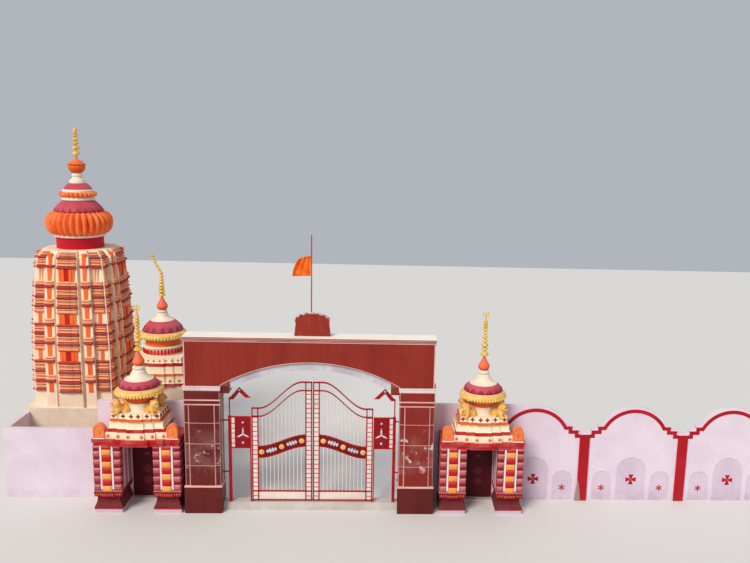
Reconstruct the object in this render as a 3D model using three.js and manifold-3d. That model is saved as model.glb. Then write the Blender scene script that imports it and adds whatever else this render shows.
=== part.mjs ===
// Street front of a hindu temple: an arched gateway with iron gates, two domed gate shrines,
// a boundary wall with scalloped bays, and two ribbed towers behind it. Millimetres, +Z up.
// X runs along the street and +Y goes into the compound. The lengths below count from the street
// face of the gateway, and the finished group moves by half the gateway's depth, so that its
// origin lies on the ground under the threshold.

import * as THREE from 'three';
import { mergeVertices } from 'three/addons/utils/BufferGeometryUtils.js';
import Module from 'manifold-3d';

const wasm = await Module();
wasm.setup();

// Driving dimensions of the gateway
const GATE_DEPTH = 720;
const PIER_OUTER = 4740;
const PIER_INNER = 3410;
const PLINTH_TOP = 1090;
const SHAFT_TOP = 4550;
const CAP_TOP = 5110;
const FASCIA_TOP = 6870;
const COPING_TOP = 7030;
const ARCH_CROWN = 6050;
const ARCH_END = 3060;
const RIB_DEPTH = 280;
const SILL_TOP = 290;

// Driving dimensions of the iron gates, measured outward from the line where the leaves meet
const GATE_X = 50;
const GATE_Y = 420;
const FRAME_T = 50;
const LEAF_BOTTOM = 330;
const LEAF_IN = 15;
const LEAF_OUT = 2340;
const LEAF_TOP_IN = 5207;
const LEAF_TOP_OUT = 4150;
const LADDER_W = 240;
const WICKET_IN = 2362;
const WICKET_OUT = 3230;

// Driving dimensions of the gate shrines
const SHRINE_X = 6660;
const SHRINE_LEFT_X = -6570;
const SHRINE_HALF = 1640;
const DOORWAY_HALF = 600;
const DOORWAY_TOP = 2450;
const DOOR_T = 44;
const LINTEL_Z = 2710;
const CORNICE_TOP = 2990;
const PLATFORM_TOP = 3980;
const CROWN_Y = 680;

// Driving dimensions of the boundary wall
const WALL_Y = 1264;
const WALL_T = 200;
const WALL_BACK = WALL_Y + WALL_T;
const BAY_PITCH = 4060;
const BAY_START = 8940;
const LINK_TOP = 4050;
const PILASTER_W = 390;

// Driving dimensions of the towers
const TOWER_X = -10200;
const TOWER_Y = 5100;
const TOWER_HALF = 1900;
const TOWER_ROOM_TOP = 2850;
const TOWER_BODY_Z = 3030;
const TOWER_BODY_TOP = 9560;
const SMALL_X = -6510;
const SMALL_Y = 3830;
const SMALL_HALF = 1075;
const SMALL_TOP = 4210;
const SMALL_PLATFORM_TOP = 5360;

// Materials
const paint = (colour, roughness = 0.8, metalness = 0) =>
  new THREE.MeshStandardMaterial({ color: colour, roughness, metalness });
const maroonTile = paint(0x8a2c22, 0.6);
const greyWhite = paint(0xcdcbd0);
const cream = paint(0xfcf0de);
const redIron = paint(0x96101c, 0.5, 0.2);
const orangePaint = paint(0xf57d2d);
const orangeCloth = paint(0xff7a20, 0.95);
const concrete = paint(0xe6e2dc, 0.9);
const shrinePink = paint(0xc86e69);
const maroonPaint = paint(0xa51423);
const magenta = paint(0xcd3c6e);
const gold = paint(0xebbe50, 0.6);
const whitewash = paint(0xeee1e8, 0.9);
const doorMaroon = paint(0x4b0a14, 0.5);
const salmon = paint(0xf09a6e);

// A box between two corners
function box(x0, x1, y0, y1, z0, z1) {
  const geometry = new THREE.BoxGeometry(x1 - x0, y1 - y0, z1 - z0);
  return geometry.translate((x0 + x1) / 2, (y0 + y1) / 2, (z0 + z1) / 2);
}

// A flat shape drawn in X and Z, made into a plate from y0 to y1
function plate(shape, y0, y1, curveSegments = 12) {
  const geometry = new THREE.ExtrudeGeometry(shape, { depth: y1 - y0, bevelEnabled: false, curveSegments });
  return geometry.rotateX(Math.PI / 2).translate(0, y1, 0);
}

// A flat slab from a plan drawn in X and Y
function slab(points, z0, z1) {
  const shape = new THREE.Shape(points.map(([x, y]) => new THREE.Vector2(x, y)));
  return new THREE.ExtrudeGeometry(shape, { depth: z1 - z0, bevelEnabled: false }).translate(0, 0, z0);
}

// A slab whose front comes forward in two steps towards its middle
function steppedSlab(x, half, front, back, step, z0, z1) {
  const outer = half * 0.64;
  const inner = half * 0.3;
  return slab([
    [x - half, back], [x - half, front], [x - outer, front], [x - outer, front - step],
    [x - inner, front - step], [x - inner, front - 2 * step], [x + inner, front - 2 * step],
    [x + inner, front - step], [x + outer, front - step], [x + outer, front], [x + half, front],
    [x + half, back],
  ], z0, z1);
}

// An oval body with its centre and three half-sizes
function oval(x, y, z, rx, ry, rz) {
  const geometry = new THREE.SphereGeometry(1, 10, 6);
  return geometry.rotateX(Math.PI / 2).scale(rx, ry, rz).translate(x, y, z);
}

// A closed solid through a stack of rings, each a list of points of the same count
function stack(rings) {
  const count = rings[0].length;
  const points = rings.flat();
  const index = [];
  for (let level = 0; level + 1 < rings.length; level += 1) {
    for (let i = 0; i < count; i += 1) {
      const a = level * count + i;
      const b = level * count + ((i + 1) % count);
      index.push(a, b, b + count, a, b + count, a + count);
    }
  }
  const last = (rings.length - 1) * count;
  const middle = (ring) => ring.reduce((sum, p) => sum.add(p), new THREE.Vector3()).divideScalar(count);
  points.push(middle(rings[0]), middle(rings.at(-1)));
  for (let i = 0; i < count; i += 1) {
    const next = (i + 1) % count;
    index.push(points.length - 2, next, i);
    index.push(points.length - 1, last + i, last + next);
  }
  const geometry = new THREE.BufferGeometry().setFromPoints(points);
  geometry.setIndex(index);
  return geometry;
}

// A turned solid about a vertical line, from [radius, height] pairs going up
function turned(x, y, profile, segments = 24, ribs = 0, ribDepth = 0) {
  const rings = profile.map(([radius, z]) =>
    Array.from({ length: segments }, (_, i) => {
      const angle = (i / segments) * 2 * Math.PI;
      const r = radius * (1 - ribDepth * (0.5 - 0.5 * Math.cos(ribs * angle)));
      return new THREE.Vector3(x + r * Math.cos(angle), y + r * Math.sin(angle), z);
    }));
  return stack(rings);
}

// The union of overlapping pieces, and one solid less another
function solidOf(geometry) {
  const bare = geometry.clone();
  bare.deleteAttribute('normal');
  bare.deleteAttribute('uv');
  const welded = mergeVertices(bare, 0.01);
  return new wasm.Manifold(new wasm.Mesh({
    numProp: 3,
    vertProperties: new Float32Array(welded.attributes.position.array),
    triVerts: new Uint32Array(welded.index.array),
  }));
}

function geometryOf(solid) {
  const mesh = solid.getMesh();
  const geometry = new THREE.BufferGeometry();
  geometry.setAttribute('position', new THREE.BufferAttribute(new Float32Array(mesh.vertProperties), 3));
  geometry.setIndex(new THREE.BufferAttribute(new Uint32Array(mesh.triVerts), 1));
  return geometry;
}

function cut(piece, ...cutters) {
  return geometryOf(cutters.map(solidOf).reduce((whole, next) => whole.subtract(next), solidOf(piece)));
}

function join(...pieces) {
  return geometryOf(pieces.map(solidOf).reduce((whole, next) => whole.add(next)));
}

// The whole scene graph
const group = new THREE.Group();
group.name = 'temple_front';
group.position.y = -GATE_DEPTH / 2;

function add(name, geometry, material) {
  const mesh = new THREE.Mesh(geometry, material);
  mesh.name = name;
  group.add(mesh);
}

// A box on either side of the gateway, with X measured outward from a middle line
function sideBox(side, middle, u0, u1, y0, y1, z0, z1) {
  const a = middle + side * u0;
  const b = middle + side * u1;
  return box(Math.min(a, b), Math.max(a, b), y0, y1, z0, z1);
}

// Gateway piers: tiled plinth, panelled shaft, band, cap, and the haunch under the arch
const sides = [['left', -1], ['right', 1]];

for (const [name, side] of sides) {
  const part = (...edges) => sideBox(side, 0, ...edges);
  add(`gate_pier_${name}`, join(
    part(PIER_INNER - 20, PIER_OUTER + 45, -45, GATE_DEPTH, 0, PLINTH_TOP),
    part(PIER_INNER, PIER_OUTER, 0, GATE_DEPTH, PLINTH_TOP - 10, CAP_TOP - 10),
    part(PIER_INNER + 190, PIER_OUTER - 165, -35, 100, PLINTH_TOP - 10, SHAFT_TOP - 200),
    part(PIER_INNER - 25, PIER_OUTER + 25, -25, GATE_DEPTH, CAP_TOP - 180, CAP_TOP),
    part(ARCH_END, PIER_INNER + 10, 60, GATE_DEPTH - 60, ARCH_END + 1770, CAP_TOP),
  ), maroonTile);
}

// Arch wall over the opening, cut by a shallow arc
const archHalf = PIER_INNER;
const archRise = ARCH_CROWN - CAP_TOP;
const archRadius = (archHalf ** 2 + archRise ** 2) / (2 * archRise);
const archCentreZ = ARCH_CROWN - archRadius;
const archAngle = (x, radius) => Math.acos(x / radius);

const fasciaEdge = PIER_OUTER - 25;
const fascia = new THREE.Shape();
fascia.moveTo(-fasciaEdge, CAP_TOP);
fascia.lineTo(-ARCH_END, CAP_TOP);
fascia.absarc(0, archCentreZ, archRadius, Math.PI - archAngle(ARCH_END, archRadius),
  archAngle(ARCH_END, archRadius), true);
fascia.lineTo(ARCH_END, CAP_TOP);
fascia.lineTo(fasciaEdge, CAP_TOP);
fascia.lineTo(fasciaEdge, FASCIA_TOP);
fascia.lineTo(-fasciaEdge, FASCIA_TOP);
add('gate_arch_wall', plate(fascia, 20, GATE_DEPTH - 20, 24), maroonTile);

// Rendered rib lining the underside of the arch
const ribOuter = archRadius - 0.4;
const ribInner = archRadius - RIB_DEPTH;
const ribEnd = ARCH_END - 1;
const rib = new THREE.Shape();
rib.absarc(0, archCentreZ, ribOuter, archAngle(ribEnd, ribOuter), Math.PI - archAngle(ribEnd, ribOuter), false);
rib.absarc(0, archCentreZ, ribInner, Math.PI - archAngle(ribEnd - 60, ribInner), archAngle(ribEnd - 60, ribInner), true);
add('gate_arch_rib', plate(rib, 90, GATE_DEPTH - 90, 24), greyWhite);

// Coping along the top of the arch wall
add('gate_coping', join(
  box(-PIER_OUTER, PIER_OUTER, 0, GATE_DEPTH, FASCIA_TOP, FASCIA_TOP + 90),
  box(-PIER_OUTER - 15, PIER_OUTER + 15, -15, GATE_DEPTH + 15, FASCIA_TOP + 80, COPING_TOP),
), cream);

// Crest standing on the coping: upright sides, then a rounded head cut into lobes
const CREST_HALF = 680;
const CREST_SIDE = 560;
const CREST_TOP = 900;
const CREST_LOBES = 7;
const LOBE_R = 118;
const crest = new THREE.Shape();
crest.moveTo(GATE_X - CREST_HALF, COPING_TOP);
crest.lineTo(GATE_X + CREST_HALF, COPING_TOP);
for (let i = 0; i < CREST_LOBES; i += 1) {
  const angle = ((i + 0.5) / CREST_LOBES) * Math.PI;
  const lobeX = GATE_X + (CREST_HALF - LOBE_R) * Math.cos(angle);
  const lobeZ = COPING_TOP + CREST_SIDE + (CREST_TOP - CREST_SIDE - LOBE_R) * Math.sin(angle);
  crest.absarc(lobeX, lobeZ, LOBE_R, angle - 1.1, angle + 1.1, false);
}
add('gate_crest', plate(crest, 280, 450, 5), maroonTile);

// Flag pole behind the crest, and its flag
const POLE_Y = 480;
const POLE_R = 24;
add('flag_pole', turned(0, POLE_Y, [[POLE_R, COPING_TOP], [POLE_R, 10830], [POLE_R * 0.4, 10870]], 10), orangePaint);
add('flag', box(-720, -POLE_R - 0.3, POLE_Y - 8, POLE_Y + 8, 9290, 10080), orangeCloth);

// Threshold slab with a sloped front, under the gates
const thresholdEnd = PIER_INNER - 20;
const threshold = new THREE.Shape();
threshold.moveTo(250, 0);
threshold.lineTo(GATE_DEPTH, 0);
threshold.lineTo(GATE_DEPTH, SILL_TOP);
threshold.lineTo(330, SILL_TOP);
threshold.closePath();
const thresholdSlab = new THREE.ExtrudeGeometry(threshold, { depth: 2 * thresholdEnd, bevelEnabled: false });
thresholdSlab.rotateX(Math.PI / 2).rotateZ(Math.PI / 2).translate(-thresholdEnd, 0, 0);
add('gate_threshold', thresholdSlab, concrete);

// Iron gate leaves: tube frames, ladder stiles, bars, a waved top rail and a waved middle band
const smooth = (t) => {
  const k = Math.min(1, Math.max(0, t));
  return k * k * (3 - 2 * k);
};
const topRail = (u) => LEAF_TOP_OUT + (LEAF_TOP_IN - LEAF_TOP_OUT) * (1 - smooth((u - 400) / 1650));
const bandRail = (u) => 2590 + 480 * (1 - smooth((u - 250) / 1800));

function waveRail(side, height, curve, u0, u1, y0, y1, steps = 12) {
  const upper = [];
  const lower = [];
  for (let i = 0; i <= steps; i += 1) {
    const u = u0 + ((u1 - u0) * i) / steps;
    upper.push(new THREE.Vector2(GATE_X + side * u, curve(u)));
    lower.unshift(new THREE.Vector2(GATE_X + side * u, curve(u) - height));
  }
  return plate(new THREE.Shape([...upper, ...lower]), y0, y1);
}

const frameY0 = GATE_Y - FRAME_T / 2;
const frameY1 = GATE_Y + FRAME_T / 2;
const BAR_T = 24;
const BAR_COUNT = 11;
const TUBE = 45;

for (const [name, side] of sides) {
  const part = (...edges) => sideBox(side, GATE_X, ...edges);
  const ladder = (u, top) => [
    part(u, u + TUBE, frameY0, frameY1, LEAF_BOTTOM, top),
    part(u + LADDER_W - TUBE, u + LADDER_W, frameY0, frameY1, LEAF_BOTTOM, top),
    part(u + 10, u + LADDER_W - 10, GATE_Y - 8, GATE_Y + 8, LEAF_BOTTOM + 10, top - 10),
  ];
  const bars = [];
  const inner = LEAF_IN + LADDER_W;
  const outer = LEAF_OUT - LADDER_W;
  for (let i = 1; i <= BAR_COUNT; i += 1) {
    const u = inner + ((outer - inner) * i) / (BAR_COUNT + 1);
    bars.push(part(u - BAR_T / 2, u + BAR_T / 2, GATE_Y - BAR_T / 2, GATE_Y + BAR_T / 2, 720, topRail(u) - 350));
  }
  add(`gate_leaf_${name}`, join(
    ...ladder(LEAF_IN, topRail(LEAF_IN)),
    ...ladder(LEAF_OUT - LADDER_W, topRail(LEAF_OUT)),
    part(LEAF_IN, LEAF_OUT, frameY0, frameY1, LEAF_BOTTOM, LEAF_BOTTOM + 55),
    part(LEAF_IN, LEAF_OUT, frameY0, frameY1, 700, 755),
    part(LEAF_IN + 20, LEAF_OUT - 20, GATE_Y - 8, GATE_Y + 8, LEAF_BOTTOM + 20, 730),
    waveRail(side, 60, topRail, LEAF_IN + 5, LEAF_OUT - 5, frameY0 + 1, frameY1 - 1),
    waveRail(side, 50, (u) => topRail(u) - 335, inner - 5, outer + 5, frameY0 + 2, frameY1 - 2),
    waveRail(side, 500, bandRail, inner - 5, outer + 5, frameY0 + 3, frameY1 - 3),
    ...bars,
  ), redIron);
}

// Fixed side frames: outer post, ladder, red panel over the wicket opening, and chevron
for (const [name, side] of sides) {
  const part = (...edges) => sideBox(side, GATE_X, ...edges);
  const lug = (z) => part(WICKET_OUT - 20, PIER_INNER - side * GATE_X, GATE_Y - 20, GATE_Y + 20, z, z + 50);
  const chevron = new THREE.Shape();
  const at = (u, z) => [GATE_X + side * u, z];
  chevron.moveTo(...at(WICKET_OUT - 105, 4530));
  chevron.lineTo(...at(WICKET_OUT - 35, 4530));
  chevron.lineTo(...at(2790, 5020));
  chevron.lineTo(...at(2390, 4600));
  chevron.lineTo(...at(2530, 4600));
  chevron.lineTo(...at(2790, 4860));
  add(`wicket_frame_${name}`, join(
    part(WICKET_OUT - 120, WICKET_OUT, frameY0 - 5, frameY1 + 5, SILL_TOP, 4600),
    part(WICKET_OUT - 290, WICKET_OUT - 245, frameY0, frameY1, 2480, 3790),
    part(WICKET_OUT - 280, WICKET_OUT - 100, GATE_Y - 8, GATE_Y + 8, 2510, 3760),
    part(WICKET_IN, WICKET_IN + TUBE, frameY0, frameY1, SILL_TOP, 3790),
    part(WICKET_IN + 10, WICKET_OUT - 20, GATE_Y - 20, GATE_Y + 20, 2490, 2540),
    part(WICKET_IN + 10, WICKET_OUT - 20, GATE_Y - 20, GATE_Y + 20, 3730, 3780),
    plate(chevron, GATE_Y - 16, GATE_Y + 16),
    part(WICKET_IN + 20, WICKET_OUT - 270, GATE_Y - 12, GATE_Y + 12, 2510, 3760),
    lug(3600),
    lug(1500),
    part(LEAF_OUT - 50, WICKET_IN + 10, GATE_Y - 20, GATE_Y + 20, SILL_TOP, LEAF_BOTTOM - 0.3),
  ), redIron);
}

// Profile of a ringed finial: a bud, then thin rings that get smaller, then a point
function ringedFinial(z0, size, ringZ, ringR, tip) {
  const profile = [
    [0.17, 0], [0.24, 0.11], [0.225, 0.22], [0.13, 0.34], [0.07, 0.45],
  ].map(([r, z]) => [r * size, z0 + z * size]);
  ringZ.forEach((z, i) => {
    profile.push([ringR[i] * 0.45, z - 45], [ringR[i], z], [ringR[i] * 0.45, z + 35]);
  });
  profile.push([24, tip - 160], [8, tip]);
  return profile;
}

const CROWN_H = 1770;

// Crown of a shrine or small tower: neck, flared ring, rim, dome and bell-shaped cone
function crownProfile(z0, k) {
  return [
    [420, 0], [420, 170], [640, 420], [640, 540], [740, 710], [885, 740], [885, 880], [770, 920],
    [690, 1100], [550, 1240], [420, 1340], [300, 1470], [290, 1570], [220, 1590], [220, 1740],
    [170, 1770],
  ].map(([r, z]) => [r * k, z0 + z * k]);
}

// Crouching lion on a corner of the platform, its head held out over the corner
function lion(x, y, z, outX, outY) {
  return [
    oval(x, y, z + 150, 200, 165, 165),
    oval(x + outX * 130, y + outY * 60, z + 370, 125, 125, 150),
  ];
}

// Gate shrines: piers with flared feet, sill, door in the wall behind, cornice with antefixes,
// stepped roof with lions, crown and finial
function shrine(name, x, side) {
  const part = (...edges) => sideBox(side, x, ...edges);
  const mid = (DOORWAY_HALF + SHRINE_HALF) / 2;
  const width = SHRINE_HALF - DOORWAY_HALF;

  const foot = (centre) => stack([
    [520, -30, 150], [505, -20, 260], [430, 30, 420], [400, 50, 600], [500, -10, 700], [500, -10, 760],
  ].map(([half, front, z]) => {
    const back = WALL_Y - 20;
    const corners = [[centre - half, front], [centre + half, front], [centre + half, back], [centre - half, back]];
    return corners.map(([px, py]) => new THREE.Vector3(px, py, z));
  }));

  const pier = (turn) => {
    const centre = x + side * turn * mid;
    const around = (half, ...edges) => box(centre - half, centre + half, ...edges);
    return join(
      around(width / 2, -30, WALL_Y, 0, 160),
      foot(centre),
      around(width / 2, -30, WALL_Y, 750, 860),
      around(width / 2 - 20, 0, WALL_Y, 850, LINTEL_Z),
      around(165, -45, 60, 850, LINTEL_Z),
    );
  };
  add(`${name}_pier_near`, pier(-1), shrinePink);
  add(`${name}_pier_far`, pier(1), shrinePink);

  const hinge = -DOORWAY_HALF + 40;
  const doorY = (WALL_Y + WALL_BACK) / 2;
  add(`${name}_sill`, join(
    part(-DOORWAY_HALF, DOORWAY_HALF, WALL_Y - 120, WALL_BACK, 0, 60),
    part(hinge - 15, hinge + 15, doorY - 15, doorY + 15, 50, 79.7),
  ), concrete);
  add(`${name}_door`, part(-DOORWAY_HALF + 14, DOORWAY_HALF - 14, doorY - DOOR_T / 2, doorY + DOOR_T / 2, 80,
    DOORWAY_TOP - 20), doorMaroon);

  const antefix = (turn) => {
    const inner = 1150;
    const half = 215;
    const centre = x + turn * (inner + half);
    const shape = new THREE.Shape();
    shape.moveTo(centre - half, CORNICE_TOP - 10);
    shape.lineTo(centre + half, CORNICE_TOP - 10);
    shape.absarc(centre, CORNICE_TOP + 375, half, 0, Math.PI, false);
    return plate(shape, -30, 200, 8);
  };
  add(`${name}_cornice`, join(
    steppedSlab(x, SHRINE_HALF - 40, -10, WALL_Y, 70, LINTEL_Z, CORNICE_TOP - 130),
    steppedSlab(x, SHRINE_HALF, -60, WALL_Y, 80, CORNICE_TOP - 140, CORNICE_TOP),
    antefix(-1),
    antefix(1),
  ), maroonPaint);

  const tiers = [
    [1145, 10, 70, CORNICE_TOP, 3240],
    [1060, 40, 70, 3230, 3400],
    [1000, 90, 60, 3390, 3680],
    [925, 20, 60, 3670, 3800],
    [905, 50, 50, 3790, PLATFORM_TOP],
  ];
  const lions = [[-1, 190], [1, 190], [-1, 1040], [1, 1040]].map(([turn, y]) =>
    lion(x + turn * 610, y, PLATFORM_TOP, turn, y < CROWN_Y ? -1 : 0));
  add(`${name}_roof`, join(
    ...tiers.map(([half, front, step, z0, z1]) => steppedSlab(x, half, front, WALL_Y, step, z0, z1)),
    ...lions.flat(),
  ), cream);

  add(`${name}_crown`, turned(x, CROWN_Y, crownProfile(PLATFORM_TOP, 1), 28), magenta);
  add(`${name}_finial`, turned(x, CROWN_Y, ringedFinial(PLATFORM_TOP + CROWN_H, 1000,
    [6300, 6520, 6700, 6855, 7010, 7160, 7300, 7440, 7610],
    [155, 116, 136, 98, 107, 95, 93, 90, 88], 8056), 10), gold);
}

shrine('shrine_right', SHRINE_X, 1);
shrine('shrine_left', SHRINE_LEFT_X, -1);

// Blind niches in a bay: a tall round-headed recess in the middle and a low one on each side
const NICHE_DEPTH = 25;
const NICHES = [[-1210, 400, 1280], [0, 605, 1870], [1210, 400, 1280]];

function niche(centre, [offset, half, top]) {
  const x = centre + offset;
  const shape = new THREE.Shape();
  shape.moveTo(x - half, 20);
  shape.lineTo(x + half, 20);
  shape.absarc(x, top - half, half, 0, Math.PI, false);
  return plate(shape, WALL_Y - 10, WALL_Y + NICHE_DEPTH, 10);
}

// Boundary wall behind each shrine, with the doorway in it, tied back to the gateway
function linkWall(name, side, shrineX, end) {
  const part = (...edges) => sideBox(side, 0, ...edges);
  add(name, cut(join(
    part(PIER_OUTER - 200, PIER_OUTER, GATE_DEPTH, WALL_BACK, 0, LINK_TOP),
    part(PIER_OUTER - 100, shrineX - DOORWAY_HALF, WALL_Y, WALL_BACK, 0, LINK_TOP),
    part(shrineX - DOORWAY_HALF - 50, shrineX + DOORWAY_HALF + 50, WALL_Y, WALL_BACK, DOORWAY_TOP, LINK_TOP),
    part(shrineX + DOORWAY_HALF, end, WALL_Y, WALL_BACK, 0, LINK_TOP),
  ), niche(BAY_START, NICHES[1])), whitewash);
}

linkWall('wall_link_right', 1, SHRINE_X, BAY_START);
linkWall('wall_link_left', -1, -SHRINE_LEFT_X, -SHRINE_LEFT_X + SHRINE_HALF + 200);

// Scalloped bays: an arched crown, two steps each side, and a pilaster at the far end
const BAY_HALF = BAY_PITCH / 2;
const CROWN_HALF = 1270;
const BAY_CROWN = 4030;
const SADDLE = 2910;
const STEP_RISE = 170;
const RISERS = [1765, 1500];
const bayRise = BAY_CROWN - SADDLE - RISERS.length * STEP_RISE;
const bayRadius = (CROWN_HALF ** 2 + bayRise ** 2) / (2 * bayRise);
const bayAngle = Math.acos(CROWN_HALF / bayRadius);

function bay(name, centre, fromMiddle) {
  const shape = new THREE.Shape();
  const right = centre + BAY_HALF;
  const left = fromMiddle ? centre : centre - BAY_HALF + PILASTER_W / 2;
  shape.moveTo(left, 0);
  shape.lineTo(right, 0);
  shape.lineTo(right, SADDLE);
  RISERS.forEach((riser, i) => {
    shape.lineTo(centre + riser, SADDLE + STEP_RISE * i);
    shape.lineTo(centre + riser, SADDLE + STEP_RISE * (i + 1));
  });
  const arcEnd = fromMiddle ? Math.PI / 2 : Math.PI - bayAngle;
  shape.absarc(centre, BAY_CROWN - bayRadius, bayRadius, bayAngle, arcEnd, false);
  if (!fromMiddle) {
    RISERS.toReversed().forEach((riser, i) => {
      shape.lineTo(centre - riser, SADDLE + STEP_RISE * (2 - i));
      shape.lineTo(centre - riser, SADDLE + STEP_RISE * (1 - i));
    });
    shape.lineTo(left, SADDLE);
  }
  add(name, join(
    cut(plate(shape, WALL_Y, WALL_BACK, 14),
      ...NICHES.map((size) => niche(centre, size))),
    box(right - PILASTER_W / 2, right + PILASTER_W / 2, WALL_Y - 60, WALL_BACK + 60, 0, SADDLE + 10),
  ), whitewash);
}

for (let i = 0; i < 3; i += 1) {
  bay(`wall_bay_${i + 1}`, BAY_START + BAY_PITCH * i, i === 0);
}

// Boundary wall on the left, with returns to the two towers
const wallLeftEnd = TOWER_X - TOWER_HALF;
const wallLeftStart = SHRINE_LEFT_X - SHRINE_HALF - 200;
const towerFront = TOWER_Y - TOWER_HALF;
const smallFront = SMALL_Y - SMALL_HALF;
const smallRight = SMALL_X + SMALL_HALF;
add('wall_left', join(
  box(wallLeftEnd, wallLeftStart, WALL_Y, WALL_BACK, 0, 2880),
  box(wallLeftEnd, wallLeftEnd + WALL_T, WALL_Y, towerFront, 0, 2880),
), whitewash);
add('wall_return', box(smallRight - WALL_T, smallRight, WALL_BACK, smallFront, 0, 2880), cream);

// Tall tower: room walls with a doorway to the compound, then plinth, body and crown
const ROOM_T = 300;
const DOOR_HALF = 500;
const DOOR_TOP = 2200;
const roomBack = TOWER_Y + TOWER_HALF;
add('tower_wall_front', box(TOWER_X - TOWER_HALF, TOWER_X + TOWER_HALF, towerFront, towerFront + ROOM_T,
  0, TOWER_ROOM_TOP), cream);
for (const [name, side] of sides) {
  add(`tower_wall_${name}`, sideBox(side, TOWER_X, TOWER_HALF - ROOM_T, TOWER_HALF, towerFront + ROOM_T,
    roomBack - ROOM_T, 0, TOWER_ROOM_TOP), cream);
}
add('tower_wall_rear', join(
  box(TOWER_X - TOWER_HALF, TOWER_X - DOOR_HALF, roomBack - ROOM_T, roomBack, 0, TOWER_ROOM_TOP),
  box(TOWER_X + DOOR_HALF, TOWER_X + TOWER_HALF, roomBack - ROOM_T, roomBack, 0, TOWER_ROOM_TOP),
  box(TOWER_X - TOWER_HALF, TOWER_X + TOWER_HALF, roomBack - ROOM_T, roomBack, DOOR_TOP, TOWER_ROOM_TOP),
), cream);
add('tower_plinth', box(TOWER_X - TOWER_HALF, TOWER_X + TOWER_HALF, towerFront, roomBack, TOWER_ROOM_TOP,
  TOWER_BODY_Z), cream);

// Plan of the tower body: on each face the narrow strips stand out past the corner piers, and the
// middle strip stands out furthest. The corner piers have a face of their own on both sides.
const NARROW_OUT = 200;
const MIDDLE_OUT = 270;
const CORNER_IN = 0.64;
const NARROW_IN = 0.38;
const MIDDLE = 0.31;

function towerPlan(half, z) {
  const ring = [];
  for (let face = 0; face < 4; face += 1) {
    const turn = (face * Math.PI) / 2;
    const groove = half + 90;
    const faceLine = [
      [-half * CORNER_IN, half], [-half * CORNER_IN, half + NARROW_OUT], [-half * NARROW_IN, half + NARROW_OUT],
      [-half * NARROW_IN, groove], [-half * MIDDLE, groove], [-half * MIDDLE, half + MIDDLE_OUT],
    ];
    const otherHalf = faceLine.map(([u, v]) => [-u, v]).reverse();
    for (const [u, v] of [...faceLine, ...otherHalf, [half, half]]) {
      ring.push(new THREE.Vector3(
        TOWER_X + v * Math.cos(turn) - u * Math.sin(turn),
        TOWER_Y + v * Math.sin(turn) + u * Math.cos(turn),
        z,
      ));
    }
  }
  return ring;
}

add('tower_body', stack([
  towerPlan(1580, TOWER_BODY_Z),
  towerPlan(1570, 5000),
  towerPlan(1490, 7000),
  towerPlan(1390, 8500),
  towerPlan(1300, 9300),
  towerPlan(1080, TOWER_BODY_TOP),
]), salmon);
add('tower_neck', turned(TOWER_X, TOWER_Y, [[920, TOWER_BODY_TOP], [920, 10030], [1000, 10050], [1000, 10130]], 28),
  maroonPaint);
add('tower_amalaka', turned(TOWER_X, TOWER_Y, [[990, 10130], [1210, 10290], [1320, 10620], [1250, 10910],
  [990, 11090]], 96, 24, 0.06), orangePaint);
add('tower_crown', turned(TOWER_X, TOWER_Y, [
  [960, 11090], [960, 11150], [830, 11370], [690, 11530], [620, 11640], [720, 11700], [724, 11850],
  [600, 11890], [565, 11950], [490, 12080], [390, 12230], [305, 12250], [290, 12400], [215, 12440],
  [205, 12640],
], 28), magenta);
add('tower_finial', turned(TOWER_X, TOWER_Y, [
  [195, 12640], [290, 12800], [345, 12980], [365, 13050], [200, 13190], [70, 13270],
  [70, 13380], [166, 13460], [70, 13540], [55, 13640], [148, 13700], [60, 13760], [45, 13840],
  [133, 13890], [50, 13940], [40, 14015], [119, 14060], [45, 14105], [40, 14160], [108, 14205],
  [40, 14245], [40, 14290], [95, 14325], [40, 14360], [85, 14410], [45, 14490], [8, 14573],
], 12), gold);

// Small tower behind the left shrine: plain room open to the compound, tiers, crown, bent finial
const SMALL_FINIAL_Z = 7180;
const SMALL_T = 250;
const smallBack = SMALL_Y + SMALL_HALF;
add('small_tower_wall_front', box(SMALL_X - SMALL_HALF, SMALL_X + SMALL_HALF, smallFront,
  smallFront + SMALL_T, 0, SMALL_TOP), cream);
for (const [name, side] of sides) {
  add(`small_tower_wall_${name}`, sideBox(side, SMALL_X, SMALL_HALF - SMALL_T, SMALL_HALF,
    smallFront + SMALL_T, smallBack, 0, SMALL_TOP), cream);
}
const smallTiers = [
  [1110, 60, SMALL_TOP, 4330],
  [1060, 60, 4320, 4640],
  [1080, 60, 4630, 4740],
  [1000, 60, 4730, 5030],
  [1010, 60, 5020, 5170],
  [950, 50, 5160, SMALL_PLATFORM_TOP],
];
add('small_tower_tiers', join(...smallTiers.map(([half, step, z0, z1]) =>
  steppedSlab(SMALL_X, half, SMALL_Y - half, SMALL_Y + half, step, z0, z1))), cream);
add('small_tower_crown', turned(SMALL_X, SMALL_Y, [
  [800, SMALL_PLATFORM_TOP], [800, 5690], [690, 5740], [760, 6040], [950, 6100], [950, 6270], [830, 6310],
  [720, 6480], [560, 6680], [430, 6760], [310, 6900], [300, 7010], [240, 7030], [240, 7110],
  [175, SMALL_FINIAL_Z],
], 28), magenta);

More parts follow.
